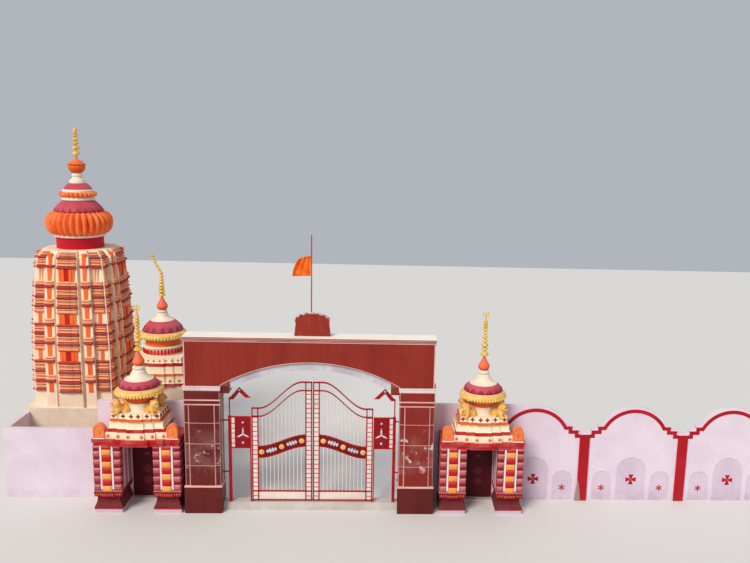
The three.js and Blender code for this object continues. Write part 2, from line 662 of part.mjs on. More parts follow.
// The finial's rings stand straight, and its top stem is bent over to the left
const BEND_Z = 8720;
const TIP_Z = 9510;
const BEND_X = -420;
const smallFinial = [
  ...ringedFinial(SMALL_FINIAL_Z, 1050, [7820, 7970, 8120, 8270, 8420, 8570],
    [140, 130, 120, 112, 104, 96], BEND_Z + 200).slice(0, -2),
  [50, BEND_Z], [58, BEND_Z + 150], [62, TIP_Z - 120], [75, TIP_Z - 60], [60, TIP_Z],
];
add('small_tower_finial', stack(smallFinial.map(([radius, z]) => {
  const lean = Math.max(0, (z - BEND_Z) / (TIP_Z - BEND_Z)) * BEND_X;
  return Array.from({ length: 10 }, (_, i) => {
    const angle = (i / 10) * 2 * Math.PI;
    return new THREE.Vector3(SMALL_X + lean + radius * Math.cos(angle), SMALL_Y + radius * Math.sin(angle), z);
  });
})), gold);

export default group;
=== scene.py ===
"""The street front of a hindu temple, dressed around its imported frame.

The file follows the building as it is put together: the gateway and its iron gates, the two gate
shrines, the boundary wall, the tall tower and the small tower. Lengths are in metres, X runs along
the street, +Y goes into the compound and +Z is up.
"""

import math

import bmesh
import bpy
from mathutils import Matrix, Vector


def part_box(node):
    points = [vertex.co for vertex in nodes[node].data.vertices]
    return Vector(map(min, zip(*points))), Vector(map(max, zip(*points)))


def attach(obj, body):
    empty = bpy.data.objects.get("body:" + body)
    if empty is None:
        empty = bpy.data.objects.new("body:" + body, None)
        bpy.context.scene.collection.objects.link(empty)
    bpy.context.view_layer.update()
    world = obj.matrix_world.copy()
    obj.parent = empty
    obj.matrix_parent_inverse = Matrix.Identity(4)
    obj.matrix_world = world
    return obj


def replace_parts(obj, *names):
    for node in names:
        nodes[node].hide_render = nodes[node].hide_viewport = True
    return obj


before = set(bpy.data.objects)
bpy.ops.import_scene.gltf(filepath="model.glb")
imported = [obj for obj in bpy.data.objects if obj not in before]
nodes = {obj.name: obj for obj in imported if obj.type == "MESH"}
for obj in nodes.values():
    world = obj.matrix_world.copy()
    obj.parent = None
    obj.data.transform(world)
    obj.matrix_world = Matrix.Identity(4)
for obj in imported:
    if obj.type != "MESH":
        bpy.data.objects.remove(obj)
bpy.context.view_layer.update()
FIXED = "temple_front"


# Gateway piers
# Each is a masonry core clad in glazed maroon tiles set in pale mortar, with a moulded neck, a
# maroon band and a whitewashed cap. Rain has left chalky stains on the lower tiles.

def linear(colour):
    """A colour in screen values, 0 to 255, as the linear values that a shader takes."""
    return tuple((max(c, 11) / 255 * 0.948 + 0.052) ** 2.4 for c in colour) + (1.0,)


class Finish:
    """A material and the few node steps that every paint, tile and metal here is made of."""

    def __init__(self, name, roughness=0.8, metallic=0.0):
        self.material = bpy.data.materials.new(name)
        self.material.use_nodes = True
        self.tree = self.material.node_tree
        self.shader = self.tree.nodes["Principled BSDF"]
        self.shader.inputs["Roughness"].default_value = roughness
        self.shader.inputs["Metallic"].default_value = metallic
        self.shader.inputs["Specular IOR Level"].default_value = 0.22
        self.place = self.step("TexCoord", "Object")

    def put(self, socket, value):
        """Sets an input, or links it where the value comes from another node."""
        if isinstance(value, bpy.types.NodeSocket):
            self.tree.links.new(value, socket)
        else:
            socket.default_value = value

    def step(self, kind, result, **values):
        """Adds a node, fills its inputs and gives the result asked for."""
        made = self.tree.nodes.new("ShaderNode" + kind)
        for entry, value in values.items():
            self.put(made.inputs[entry.replace("_", " ")], value)
        return made.outputs[result]

    def noise(self, scale, detail=4.0, stretch=(1, 1, 1), distortion=0.0):
        at = self.step("Mapping", "Vector", Vector=self.place, Scale=stretch)
        return self.step("TexNoise", "Fac", Vector=at, Scale=scale, Detail=detail, Distortion=distortion)

    def ramp(self, value, low, high, out_low=0.0, out_high=1.0):
        return self.step("MapRange", "Result", Value=value, From_Min=low, From_Max=high,
                         To_Min=out_low, To_Max=out_high)

    def times(self, a, b):
        made = self.tree.nodes.new("ShaderNodeMath")
        made.operation = "MULTIPLY"
        self.put(made.inputs[0], a)
        self.put(made.inputs[1], b)
        return made.outputs["Value"]

    def mix(self, amount, a, b):
        made = self.tree.nodes.new("ShaderNodeMix")
        made.data_type = "RGBA"
        for socket, value in zip((made.inputs["Factor"], made.inputs[6], made.inputs[7]), (amount, a, b)):
            self.put(socket, linear(value) if isinstance(value, tuple) else value)
        return made.outputs[2]

    def height(self):
        return self.step("SeparateXYZ", "Z", Vector=self.place)

    def upward(self):
        """How far the surface faces up: 1 for a top, 0 for a wall and -1 for an underside."""
        return self.step("SeparateXYZ", "Z", Vector=self.step("NewGeometry", "Normal"))

    def painted_top_light_and_under_shade(self, shade, top_highlight, under_shade=0.4):
        """Painted light: tops painted lighter as a painted highlight, and undersides painted darker as
        painted shade, by which way each surface faces.
        """
        # Upward faces are mixed towards pale cream (painted highlight), and downward faces towards dark red
        # brown (painted shade).
        lit_tops = self.mix(self.ramp(self.upward(), 0.1, 0.9, 0.0, top_highlight), shade, (255, 232, 206))
        return self.mix(self.ramp(self.upward(), -0.1, -0.8, 0.0, under_shade), lit_tops, (70, 16, 16))

    def colour(self, value):
        self.put(self.shader.inputs["Base Color"], value)

    def roughness(self, value):
        self.put(self.shader.inputs["Roughness"], value)

    def bump(self, value, distance=0.01, strength=0.4):
        bumped = self.step("Bump", "Normal", Distance=distance, Strength=strength, Height=value)
        self.put(self.shader.inputs["Normal"], bumped)


def weathered(name, colour, faded, roughness=0.8, stain=(120, 100, 85), stains=0.25, soil=0.35,
              top_highlight=0.08):
    """Paint or render that has faded in patches, with rain streaks, soil low down and a fine grain, plus a
    painted highlight on its tops and painted shade on its undersides.
    """
    paint = Finish(name, roughness)
    shade = paint.mix(paint.ramp(paint.noise(0.9, 6.0), 0.38, 0.68), colour, faded)
    mottle = paint.ramp(paint.noise(9.0, 5.0), 0.35, 0.75, 0.0, 0.35)
    shade = paint.mix(mottle, shade, faded)
    streaks = paint.ramp(paint.noise(4.0, 5.0, (5.0, 5.0, 0.45)), 0.58, 0.82, 0.0, stains)
    shade = paint.mix(streaks, shade, stain)
    low = paint.ramp(paint.height(), 0.55, 0.0, 0.0, soil)
    shade = paint.mix(paint.times(low, paint.ramp(paint.noise(3.0, 5.0), 0.3, 0.6)), shade, stain)
    # Painted light: tops get a painted highlight and undersides get painted shade.
    paint.colour(paint.painted_top_light_and_under_shade(shade, top_highlight))
    paint.roughness(paint.ramp(mottle, 0.0, 0.35, roughness - 0.08, min(1.0, roughness + 0.1)))
    paint.bump(paint.noise(45.0, 4.0), 0.006)
    return paint.material


def skin(bm, loops, slot=0):
    """A closed skin from one loop of points to the next, with a face over each end."""
    loops = [[bm.verts.new(point) for point in loop] for loop in loops]
    faces = [bm.faces.new(loops[0][::-1]), bm.faces.new(loops[-1])]
    for low, high in zip(loops, loops[1:]):
        for i, corner in enumerate(low):
            follow = (i + 1) % len(low)
            faces.append(bm.faces.new((corner, low[follow], high[follow], high[i])))
    for face in faces:
        face.material_index = slot


def block(bm, x0, x1, y0, y1, z0, z1, slot=0):
    """A box between two corners, added to the mesh."""
    base = ((x0, y0), (x1, y0), (x1, y1), (x0, y1))
    skin(bm, [[(x, y, z) for x, y in base] for z in (z0, z1)], slot)


def sided(bm, side, u0, u1, y0, y1, z0, z1, slot=0, middle=0.0):
    """A box to the left or right of a middle line, u0 to u1 away from it."""
    block(bm, *sorted((middle + side * u0, middle + side * u1)), y0, y1, z0, z1, slot)


def round_edges(made, width):
    """Rounds the sharp edges of a piece."""
    rounding = made.modifiers.new("rounded_edges", "BEVEL")
    rounding.width = width
    rounding.segments = 2
    rounding.limit_method = "ANGLE"
    rounding.angle_limit = math.radians(40)


def piece(name, bm, materials, body=FIXED, edge=0.0, smooth=0.0):
    """A finished mesh that rides on a body, with rounded edges or smooth faces where asked."""
    bmesh.ops.recalc_face_normals(bm, faces=bm.faces)
    mesh = bpy.data.meshes.new(name)
    bm.to_mesh(mesh)
    bm.free()
    for material in materials:
        mesh.materials.append(material)
    if smooth:
        mesh.shade_smooth()
        mesh.set_sharp_from_angle(angle=math.radians(smooth))
    made = bpy.data.objects.new(name, mesh)
    bpy.context.collection.objects.link(made)
    if edge:
        round_edges(made, edge)
    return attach(made, body)


def dress(names, material, edge=0.0):
    """Gives carried-over solids their finish, and rounds their edges."""
    for name in names:
        node = nodes[name]
        node.data.materials.clear()
        node.data.materials.append(material)
        if edge:
            round_edges(node, edge)


def glazed_tile(name, colour, light, chalk=0.0, drips=0.25):
    """Glazed tile with a slight tone change from tile to tile and chalky stains low down."""
    tile = Finish(name, 0.38)
    tone = tile.ramp(tile.noise(1.1, 2.0, (1.0, 1.0, 0.3)), 0.32, 0.7)
    shade = tile.mix(tone, colour, light)
    where = tile.times(tile.ramp(tile.height(), 3.5, 2.9), tile.ramp(tile.height(), 1.5, 2.1))
    haze = tile.times(tile.ramp(tile.noise(1.7, 5.0), 0.42, 0.62, 0.0, 0.35 * chalk), where)
    shade = tile.mix(haze, shade, (176, 128, 122))
    splash = tile.ramp(tile.noise(3.1, 6.0, distortion=0.25), 0.60, 0.68, 0.0, chalk)
    shade = tile.mix(tile.times(splash, where), shade, (226, 200, 200))
    streaks = tile.ramp(tile.noise(4.0, 3.0, (9.0, 9.0, 0.22)), 0.68, 0.8, 0.0, drips)
    tile.colour(tile.mix(streaks, shade, (206, 138, 120)))
    tile.roughness(tile.ramp(tile.times(splash, where), 0.0, 0.5, 0.36, 0.75))
    tile.bump(tile.noise(7.0, 3.0), 0.004, 0.25)
    return tile.material


# The left pier's tiles are a darker copy of the right pier's, as painted shade on the left pier.
pier_tiles = {"left": glazed_tile("left_pier_tile_painted_shade", (98, 28, 25), (112, 37, 31), 0.8),
              "right": glazed_tile("right_pier_tile", (128, 36, 28), (148, 47, 36), 0.9)}
pale_mortar = weathered("pale_mortar", (236, 188, 182), (218, 162, 154), 0.85, stains=0.2)
dress(["gate_pier_left", "gate_pier_right"], pale_mortar)

# Pier tiles: large glazed panels on all four faces, in rows between pale joints, with a middle
# panel that stands proud. They are stuck on the masonry and stop short of each other by the joint.
SIDES = (("left", -1), ("right", 1))
PIER_IN, PIER_OUT = 3.41, 4.74
STREET_Y, YARD_Y = -0.36, 0.36
NECK_Z, BAND_Z, CAP_Z, PIER_TOP = 4.37, 4.58, 4.94, 5.11
TILE_ROWS = (1.13, 1.95, 2.83, 3.66, NECK_Z)
JOINT, TILE_T = 0.014, 0.012
INNER_FACE, OUTER_FACE = (PIER_IN - TILE_T, PIER_IN + 0.005), (PIER_OUT - 0.005, PIER_OUT + TILE_T)
STREET_FACE, YARD_FACE = (STREET_Y - TILE_T, STREET_Y + 0.005), (YARD_Y - 0.005, YARD_Y + TILE_T)
PIER_WIDTH, PIER_DEPTH = (PIER_IN, PIER_OUT), (STREET_Y, YARD_Y)
CORBEL_IN, CORBEL_Z = 3.055, 4.82
PLINTH_ROWS, PLINTH_JOINT, PLINTH_OUT = ((0.0, 0.528), (0.531, 1.06)), 0.0015, 0.045


def tile_face(bm, side, facing, across, deep, rows):
    """Rows of tiles on one upright face, which faces along x or y, with joints round each tile."""
    (u0, u1), (y0, y1) = across, deep
    gap_u, gap_y = (JOINT, 0.0) if facing == "y" else (0.0, JOINT)
    for bottom, top in zip(rows, rows[1:]):
        sided(bm, side, u0 + gap_u, u1 - gap_u, y0 + gap_y, y1 - gap_y, bottom + JOINT, top - JOINT)


plinth_tile = glazed_tile("plinth_tile", (92, 27, 24), (106, 34, 29))
cap_white = weathered("cap_whitewash", (236, 216, 216), (206, 184, 184), 0.85, stains=0.35)
for name, side in SIDES:
    tiles = bmesh.new()
    for facing, across, deep in (
        ("y", (PIER_IN + 0.20, PIER_OUT - 0.175), (STREET_Y - 0.035 - TILE_T, STREET_Y - 0.03)),
        ("y", (PIER_IN, PIER_IN + 0.19), STREET_FACE), ("y", (PIER_OUT - 0.165, PIER_OUT), STREET_FACE),
        ("y", (PIER_IN, PIER_IN + 0.66), YARD_FACE), ("y", (PIER_IN + 0.67, PIER_OUT), YARD_FACE),
        ("x", INNER_FACE, (STREET_Y, -0.02)), ("x", INNER_FACE, (0.14, YARD_Y)),
        ("x", OUTER_FACE, (STREET_Y, 0.0)), ("x", OUTER_FACE, (0.0, YARD_Y)),
    ):
        tile_face(tiles, side, facing, across, deep, TILE_ROWS)
    for facing, across, deep in (("y", PIER_WIDTH, STREET_FACE), ("y", PIER_WIDTH, YARD_FACE),
                                 ("x", INNER_FACE, PIER_DEPTH), ("x", OUTER_FACE, PIER_DEPTH)):
        for rows in ((NECK_Z + 0.03, BAND_Z - 0.02), (BAND_Z, CAP_Z)):
            tile_face(tiles, side, facing, across, deep, rows)
    sided(tiles, side, CORBEL_IN, PIER_IN + 0.005, STREET_Y + 0.05, YARD_Y - 0.05, CORBEL_Z, PIER_TOP - 0.005)
    piece(f"gate_pier_{name}_tiles", tiles, [pier_tiles[name]], edge=0.004)

    plinth = bmesh.new()
    outer, inner = PIER_OUT + PLINTH_OUT, PIER_IN - 0.02
    half_way = (outer + inner) / 2
    for z0, z1 in PLINTH_ROWS:
        for low, high in ((inner, half_way), (half_way, outer)):
            for y0, y1 in ((STREET_Y - PLINTH_OUT - TILE_T, STREET_Y - 0.04), YARD_FACE):
                sided(plinth, side, low + PLINTH_JOINT, high - PLINTH_JOINT, y0, y1, z0, z1)
        for u in (outer, inner):
            sided(plinth, side, u - TILE_T, u + TILE_T, STREET_Y - PLINTH_OUT, YARD_Y, z0, z1)
    piece(f"gate_pier_{name}_plinth_tiles", plinth, [plinth_tile], edge=0.004)

    # Pale mouldings at the plinth, the neck and under the cap, and the whitewashed cap itself
    mouldings = bmesh.new()
    for z0, z1, out in ((1.06, 1.10, 0.06), (NECK_Z - 0.01, NECK_Z + 0.03, 0.03), (4.535, 4.575, 0.035)):
        sided(mouldings, side, PIER_IN - out, PIER_OUT + out, STREET_Y - out, YARD_Y + out, z0, z1)
    piece(f"gate_pier_{name}_mouldings", mouldings, [pale_mortar], edge=0.012)
    cap = bmesh.new()
    slab_z = PIER_TOP - 0.04
    for z0, z1, out in ((CAP_Z + 0.01, slab_z, 0.04), (slab_z - 0.005, PIER_TOP + 0.004, 0.055)):
        sided(cap, side, PIER_IN - out, PIER_OUT + out, STREET_Y - out, YARD_Y + out - 0.02, z0, z1)
    piece(f"gate_pier_{name}_cap", cap, [cap_white], edge=0.01)


# Arch wall. A masonry panel over the opening, clad on both faces in tall maroon tiles that are cut
# to the curve of the arch, with a pale bead along the curve and at the outer corners.
ARCH_CROWN, FASCIA_TOP = 6.05, 6.87
arch_rise = ARCH_CROWN - PIER_TOP
arch_radius = (PIER_IN**2 + arch_rise**2) / (2 * arch_rise)
arch_centre_z = ARCH_CROWN - arch_radius


def arch_z(x, radius=arch_radius):
    """Height of the arch above the ground at x."""
    return arch_centre_z + math.sqrt(radius**2 - x**2)


def prism(bm, outline, y0, y1, slot=0):
    """A flat outline in X and Z, given thickness in Y."""
    skin(bm, [[(x, y, z) for x, z in outline] for y in (y0, y1)], slot)


def spread(low, high, steps):
    """Values at even steps from low to high."""
    return [low + (high - low) * i / steps for i in range(steps + 1)]


rosy_mortar = weathered("rosy_mortar", (158, 72, 58), (150, 64, 50), 0.85, stains=0.1)
dress(["gate_arch_wall"], rosy_mortar)
fascia_tile = glazed_tile("fascia_tile", (136, 38, 28), (150, 48, 36), 0.0, 0.35)
FASCIA_HALF, COLUMNS, FASCIA_JOINT = 4.705, 28, 0.0015
FASCIA_ROWS = (PIER_TOP + 0.01, 5.70, 6.29, FASCIA_TOP - 0.035)
column_ends = spread(-FASCIA_HALF, FASCIA_HALF, COLUMNS)
fascia = bmesh.new()
for left, right in zip(column_ends, column_ends[1:]):
    xs = spread(left + FASCIA_JOINT, right - FASCIA_JOINT, 6)
    for bottom, top in zip(FASCIA_ROWS, FASCIA_ROWS[1:]):
        cut = [max(bottom + FASCIA_JOINT, arch_z(x) + 0.035 if abs(x) < PIER_IN else 0) for x in xs]
        if min(cut) > top - 0.06:
            continue
        outline = [(x, min(z, top - 0.05)) for x, z in zip(xs, cut)]
        outline += [(xs[-1], top - FASCIA_JOINT), (xs[0], top - FASCIA_JOINT)]
        for y0, y1 in ((STREET_Y + 0.014, STREET_Y + 0.022), (YARD_Y - 0.022, YARD_Y - 0.014)):
            prism(fascia, outline, y0, y1)
piece("gate_arch_tiles", fascia, [fascia_tile], edge=0.001)

TOP_BEAD = (FASCIA_TOP - 0.032, FASCIA_TOP - 0.004)
beads = bmesh.new()
arch_xs = spread(-PIER_IN, PIER_IN, 48)
curve = [(x, arch_z(x) + 0.034) for x in arch_xs] + [(x, arch_z(x) + 0.006) for x in arch_xs[::-1]]
for y0, y1 in ((STREET_Y + 0.002, STREET_Y + 0.03), (YARD_Y - 0.03, YARD_Y - 0.002)):
    prism(beads, curve, y0, y1)
    block(beads, -FASCIA_HALF - 0.02, FASCIA_HALF + 0.02, y0 - 0.012, y1 + 0.012, *TOP_BEAD)
for name, side in SIDES:
    for y0, y1 in ((STREET_Y + 0.002, STREET_Y + 0.04), (YARD_Y - 0.04, YARD_Y - 0.002)):
        sided(beads, side, FASCIA_HALF - 0.03, FASCIA_HALF + 0.012, y0, y1, PIER_TOP, 6.83)
piece("gate_arch_beads", beads, [pale_mortar], edge=0.006)

# Rib under the arch: thick cement render, whitewashed long ago and now patchy grey, with a rolled
# edge on each face.
rib_wash = weathered("rib_wash", (218, 214, 220), (176, 172, 180), 0.9, (128, 122, 126), 0.45)
dress(["gate_arch_rib"], rib_wash)
rib_radius = arch_radius - 0.28
rib_xs = spread(-2.99, 2.99, 44)
lower_line = [(x, arch_z(x, rib_radius) + 0.03) for x in rib_xs]
upper_line = [(x, arch_z(x, rib_radius) - 0.006) for x in rib_xs[::-1]]
rib_edge = bmesh.new()
for y0, y1 in ((-0.285, -0.25), (0.25, 0.285)):
    prism(rib_edge, lower_line + upper_line, y0, y1)
piece("gate_arch_rib_edges", rib_edge, [rib_wash], edge=0.008)

# Coping: cement render run along the top of the arch wall, a little wider than it. Its edge is
# moulded in two rosy beads with dark lines between, and its top is cream.
def banded(name, courses, roughness=0.75, stain=(150, 120, 100), stains=0.3):
    """Paint whose colour changes with height: courses are (colour, top of that colour)."""
    paint = Finish(name, roughness)
    height = paint.height()
    (lowest, floor_z), *others = courses
    shade = paint.mix(0.0, lowest, lowest)
    for colour, top in others:
        shade = paint.mix(paint.ramp(height, floor_z - 0.003, floor_z + 0.003), shade, colour)
        floor_z = top
    fade = paint.ramp(paint.noise(2.4, 6.0), 0.4, 0.72, 0.0, 0.16)
    shade = paint.mix(fade, shade, (226, 196, 176))
    streaks = paint.ramp(paint.noise(4.0, 5.0, (6.0, 6.0, 0.5)), 0.56, 0.8, 0.0, stains)
    # Painted light: tops get a painted highlight and undersides get painted shade.
    paint.colour(paint.painted_top_light_and_under_shade(paint.mix(streaks, shade, stain), 0.08))
    paint.roughness(paint.ramp(fade, 0.0, 0.16, roughness - 0.08, roughness + 0.1))
    paint.bump(paint.noise(45.0, 4.0), 0.006)
    return paint.material


COPING_OUT = 0.015
coping_bands = (((138, 70, 62), 7.012), ((252, 240, 226), 9.0))
coping_paint = banded("coping_paint", coping_bands, 0.8, (120, 84, 76), 0.3)
dress(["gate_coping"], coping_paint, 0.008)
bead_pink = weathered("bead_pink", (206, 146, 136), (188, 122, 114), 0.8, (130, 70, 62), 0.35, 0.0)
coping_cream = weathered("coping_cream", (254, 248, 238), (248, 238, 226), 0.85, (176, 158, 148), 0.25, 0.0)
mouldings = bmesh.new()
for z0, z1, out, slot in ((6.884, 6.926, 0.004, 0), (6.945, 6.990, COPING_OUT + 0.006, 0),
                          (7.012, 7.036, COPING_OUT + 0.010, 1)):
    block(mouldings, -PIER_OUT - out, PIER_OUT + out, STREET_Y - out, YARD_Y + out, z0, z1, slot)
piece("gate_coping_mouldings", mouldings, [bead_pink, coping_cream], edge=0.012)

# Crest: a lobed panel of rendered brick standing on the coping, maroon like the wall, with the
# paint gone from the tops of its lobes.
def arc(x, z, radius, angles):
    """Points at a distance from a centre, one for each angle."""
    return [(x + radius * math.cos(a), z + radius * math.sin(a)) for a in angles]


crest_maroon = weathered("crest_maroon", (146, 44, 32), (156, 54, 40), 0.75, (206, 150, 136), 0.2, 0.0)
dress(["gate_crest"], crest_maroon, 0.01)
GATE_X = 0.05
COPING_TOP = 7.03
CREST_HALF, CREST_SPRING, CREST_RISE = 0.68, 0.56, 0.34
LOBES, LOBE_R, LOBE_SWEEP = 7, 0.118, 0.62
worn_plaster = weathered("worn_plaster", (228, 200, 192), (170, 84, 70), 0.9, stains=0.1, soil=0.0)
rim = bmesh.new()
for lobe in range(LOBES):
    angle = (lobe + 0.5) / LOBES * math.pi
    cx = GATE_X + (CREST_HALF - LOBE_R) * math.cos(angle)
    cz = COPING_TOP + CREST_SPRING + (CREST_RISE - LOBE_R) * math.sin(angle)
    angles = spread(angle - LOBE_SWEEP, angle + LOBE_SWEEP, 8)
    worn = arc(cx, cz, LOBE_R + 0.004, angles) + arc(cx, cz, LOBE_R - 0.03, angles[::-1])
    prism(rim, worn, -0.086, 0.096)
piece("gate_crest_rim", rim, [worn_plaster], edge=0.006)

# Flag pole: a steel tube behind the crest, painted orange, with a rope tie at the foot
pole_orange = weathered("pole_orange", (176, 64, 30), (196, 92, 56), 0.5, (150, 90, 60), 0.2, 0.0)
dress(["flag_pole"], pole_orange)

# Flag: one piece of thin orange cotton, hemmed, tied to the pole along its hoist and blown out
# towards the left. Its cut narrows to the top, and the wind has gathered the upper half in folds.
FLAG_W, FLAG_H, FLAG_Z = 0.70, 0.76, 9.31
NARROWING, FLY_CUT = 0.24, 0.16
POLE_Y = 0.12
cotton = Finish("orange_cotton", 0.92)
fade = cotton.ramp(cotton.noise(3.2, 4.0, distortion=0.5), 0.42, 0.6)
cotton.colour(cotton.mix(fade, (236, 86, 8), (248, 122, 22)))
cotton.shader.inputs["Sheen Weight"].default_value = 0.25
hem_cotton = Finish("hem_cotton", 0.92)
hem_cotton.colour(hem_cotton.mix(hem_cotton.ramp(hem_cotton.noise(30.0), 0.3, 0.7), (226, 88, 14),
                                 (240, 108, 26)))
for cloth in (cotton, hem_cotton):
    cloth.bump(cloth.noise(320.0, 2.0), 0.0015, 0.5)


def flag_point(s, t, lift=0.0, blown=True):
    """A point on the flag: s runs from the pole to the free edge, t from the bottom to the top."""
    width = FLAG_W * (1 - NARROWING * t**2.5)
    height = FLAG_H * t * (1 - FLY_CUT * s * s)
    if not blown:
        return Vector((-width * s, 0.0, height))
    folds = 0.012 + 0.034 * t
    wave = folds * min(1.0, 4 * s) * math.sin(17 * s + 2.2 * t) + 0.03 * s * math.sin(6 * s - 2 * t)
    gather = 0.985 - 0.09 * t
    return Vector((-0.03 - width * s * gather, POLE_Y + wave + lift, FLAG_Z + height - 0.02 * s))


ACROSS, UP = 40, 40
for name, lift, material in (("flag_cloth", 0.0, cotton), ("flag_hem", 0.004, hem_cotton)):
    hemmed = material is hem_cotton
    cloth = bmesh.new()
    grid = [[cloth.verts.new(flag_point(i / ACROSS, j / UP, lift)) for j in range(UP + 1)]
            for i in range(ACROSS + 1)]
    for i in range(ACROSS):
        for j in range(UP):
            on_hem = i in (0, 1, ACROSS - 1) or j in (0, UP - 1)
            if on_hem or not hemmed:
                cloth.faces.new((grid[i][j], grid[i + 1][j], grid[i + 1][j + 1], grid[i][j + 1]))
    bmesh.ops.delete(cloth, geom=[v for v in cloth.verts if not v.link_faces], context="VERTS")
    made = piece(name, cloth, [material.material], smooth=60)
    if hemmed:
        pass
    else:
        flag_cloth = made
        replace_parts(flag_cloth, "flag")
rows = [flag_point(1.0, (j + 0.5) / UP, blown=False).x for j in range(UP)]

# Threshold: a raised slab of pale polished stone chips in cement, with a sloped front
sill_stone = weathered("sill_stone", (214, 206, 201), (192, 183, 178), 0.55, (150, 135, 125), 0.3, 0.3)
dress(["gate_threshold"], sill_stone, 0.01)

# Iron gates. Each leaf is a welded frame of square tube with ladder stiles, a waved double top rail,
# round bars, a waved middle band with brass discs and pressed flowers, and a sheet kick panel.
LEAF_IN, LEAF_OUT, LEAF_BOTTOM, MIDDLE_RAIL_Z = 0.015, 2.34, 0.33, 0.70
LEAF_TOP_IN, LEAF_TOP_OUT = 5.207, 4.15
LADDER_W, TUBE, RUNG_PITCH = 0.265, 0.045, 0.19
GATE_Y, FRAME_HALF, SHEET_HALF, RUNG_HALF = 0.06, 0.025, 0.009, 0.016
BARS, BAR_R = 11, 0.016
BAND_LOW, BAND_RISE, BAND_H, BAND_FRONT = 2.59, 0.48, 0.45, GATE_Y - 0.012
BAND_TRIM = (0.42, 0.80, 1.19, 1.58, 1.96)


def smooth_step(t):
    t = min(1.0, max(0.0, t))
    return t * t * (3 - 2 * t)


def top_rail(u):
    return LEAF_TOP_OUT + (LEAF_TOP_IN - LEAF_TOP_OUT) * (1 - smooth_step((u - 0.4) / 1.65))


def band_rail(u):
    return BAND_LOW + BAND_RISE * (1 - smooth_step((u - 0.25) / 1.8))


def painted_iron(name, colour, light, roughness=0.42, rust=0.12):
    """Enamel on steel, uneven in tone, with a little orange peel and specks of rust."""
    iron = Finish(name, roughness, 0.0)
    shade = iron.mix(iron.ramp(iron.noise(2.0, 4.0), 0.35, 0.7), colour, light)
    specks = iron.ramp(iron.noise(22.0, 6.0), 0.66, 0.74, 0.0, rust * 4)
    iron.colour(iron.mix(specks, shade, (104, 52, 30)))
    iron.roughness(iron.ramp(specks, 0.0, 0.4, roughness, 0.85))
    iron.bump(iron.noise(60.0, 3.0), 0.002, 0.3)
    return iron.material


gate_red = painted_iron("gate_red", (162, 8, 20), (178, 20, 30))
band_red = painted_iron("band_red", (104, 6, 18), (124, 12, 24))
panel_red = painted_iron("panel_red", (138, 2, 14), (152, 8, 22), 0.5)
bar_cream = painted_iron("bar_cream", (238, 228, 220), (222, 206, 200), 0.5, 0.16)
silver_petal = painted_iron("silver_petal", (196, 188, 200), (226, 220, 228), 0.3, 0.05)
brass_disc = painted_iron("brass_disc", (238, 164, 84), (250, 192, 112), 0.35, 0.05)
kick_cream = weathered("kick_cream", (240, 228, 214), (224, 208, 196), 0.6, (160, 120, 96), 0.3, 0.5)


def around(count, shift=0.0):
    """Angles at even steps all the way round."""
    return [math.tau * (i + shift) / count for i in range(count)]


def rod(bm, x, y, z0, z1, radius, slot=0, sides=8):
    """A round upright bar."""
    skin(bm, [[(px, py, z) for px, py in arc(x, y, radius, around(sides))] for z in (z0, z1)], slot)


def waved(bm, side, curve, height, u0, u1, half=FRAME_HALF, slot=0):
    """A rail or plate whose top and bottom edges follow a wave."""
    us = spread(u0, u1, 28)
    upper = [(GATE_X + side * u, curve(u)) for u in us]
    lower = [(GATE_X + side * u, curve(u) - height) for u in us[::-1]]
    prism(bm, upper + lower, GATE_Y - half, GATE_Y + half, slot)


def stud(bm, x, y, z, radius, proud, slot=0, sides=20):
    """A domed disc fixed on a street-side face at y, standing proud of it towards the street."""
    skin(bm, [[(px, y - proud * out, pz) for px, pz in arc(x, z, radius * share, around(sides))]
              for share, out in ((1.0, 0.0), (1.0, 0.35), (0.82, 0.75), (0.45, 0.97))], slot)


def peaked(bm, corners, tip, slot=0):
    """A low pyramid on a loop of corners."""
    base = [bm.verts.new(corner) for corner in corners]
    top = bm.verts.new(tip)
    for i, corner in enumerate(base):
        bm.faces.new((corner, base[(i + 1) % len(base)], top)).material_index = slot
    bm.faces.new(base[::-1]).material_index = slot


def petal(bm, x, y, z, length, width, angle, proud, slot=0):
    """A raised leaf shape on a street-side face, pointing at an angle in the plane of the face."""
    c, s = math.cos(angle), math.sin(angle)
    outline = ((-0.5, 0), (-0.25, 0.42), (0.1, 0.5), (0.5, 0), (0.1, -0.5), (-0.25, -0.42))
    corners = [(x + a * length * c - b * width * s, y, z + a * length * s + b * width * c)
               for a, b in outline]
    peaked(bm, corners, (x, y - proud, z), slot)


def spray(bm, x, y, z, reach, angles, length, width, proud, slot=0):
    """Equal petals round a centre, each pointing outwards."""
    for angle, (px, pz) in zip(angles, arc(x, z, reach, angles)):
        petal(bm, px, y, pz, length, width, angle, proud, slot)


def upright(bm, side, u0, u1, z0, z1, half=FRAME_HALF):
    """A tube or sheet of a gate, u0 to u1 from the middle of the gateway."""
    sided(bm, side, u0, u1, GATE_Y - half, GATE_Y + half, z0, z1, middle=GATE_X)


def ladder(frame_mesh, infill, side, u, z0, z1):
    """A stile of two tubes with rungs between them, filled by a pale sheet up to the lower top rail."""
    upright(frame_mesh, side, u, u + TUBE, z0, z1)
    upright(frame_mesh, side, u + LADDER_W - TUBE, u + LADDER_W, z0, z1)
    sheet_top = z1 - 0.34
    upright(infill, side, u + TUBE - 0.01, u + LADDER_W - TUBE + 0.01, z0 + 0.01, sheet_top, SHEET_HALF)
    for rung in range(1, int((sheet_top - z0) / RUNG_PITCH) + 1):
        z = z0 + rung * RUNG_PITCH
        if z < sheet_top - 0.05:
            upright(frame_mesh, side, u + 0.01, u + LADDER_W - 0.01, z - 0.014, z + 0.014, RUNG_HALF)


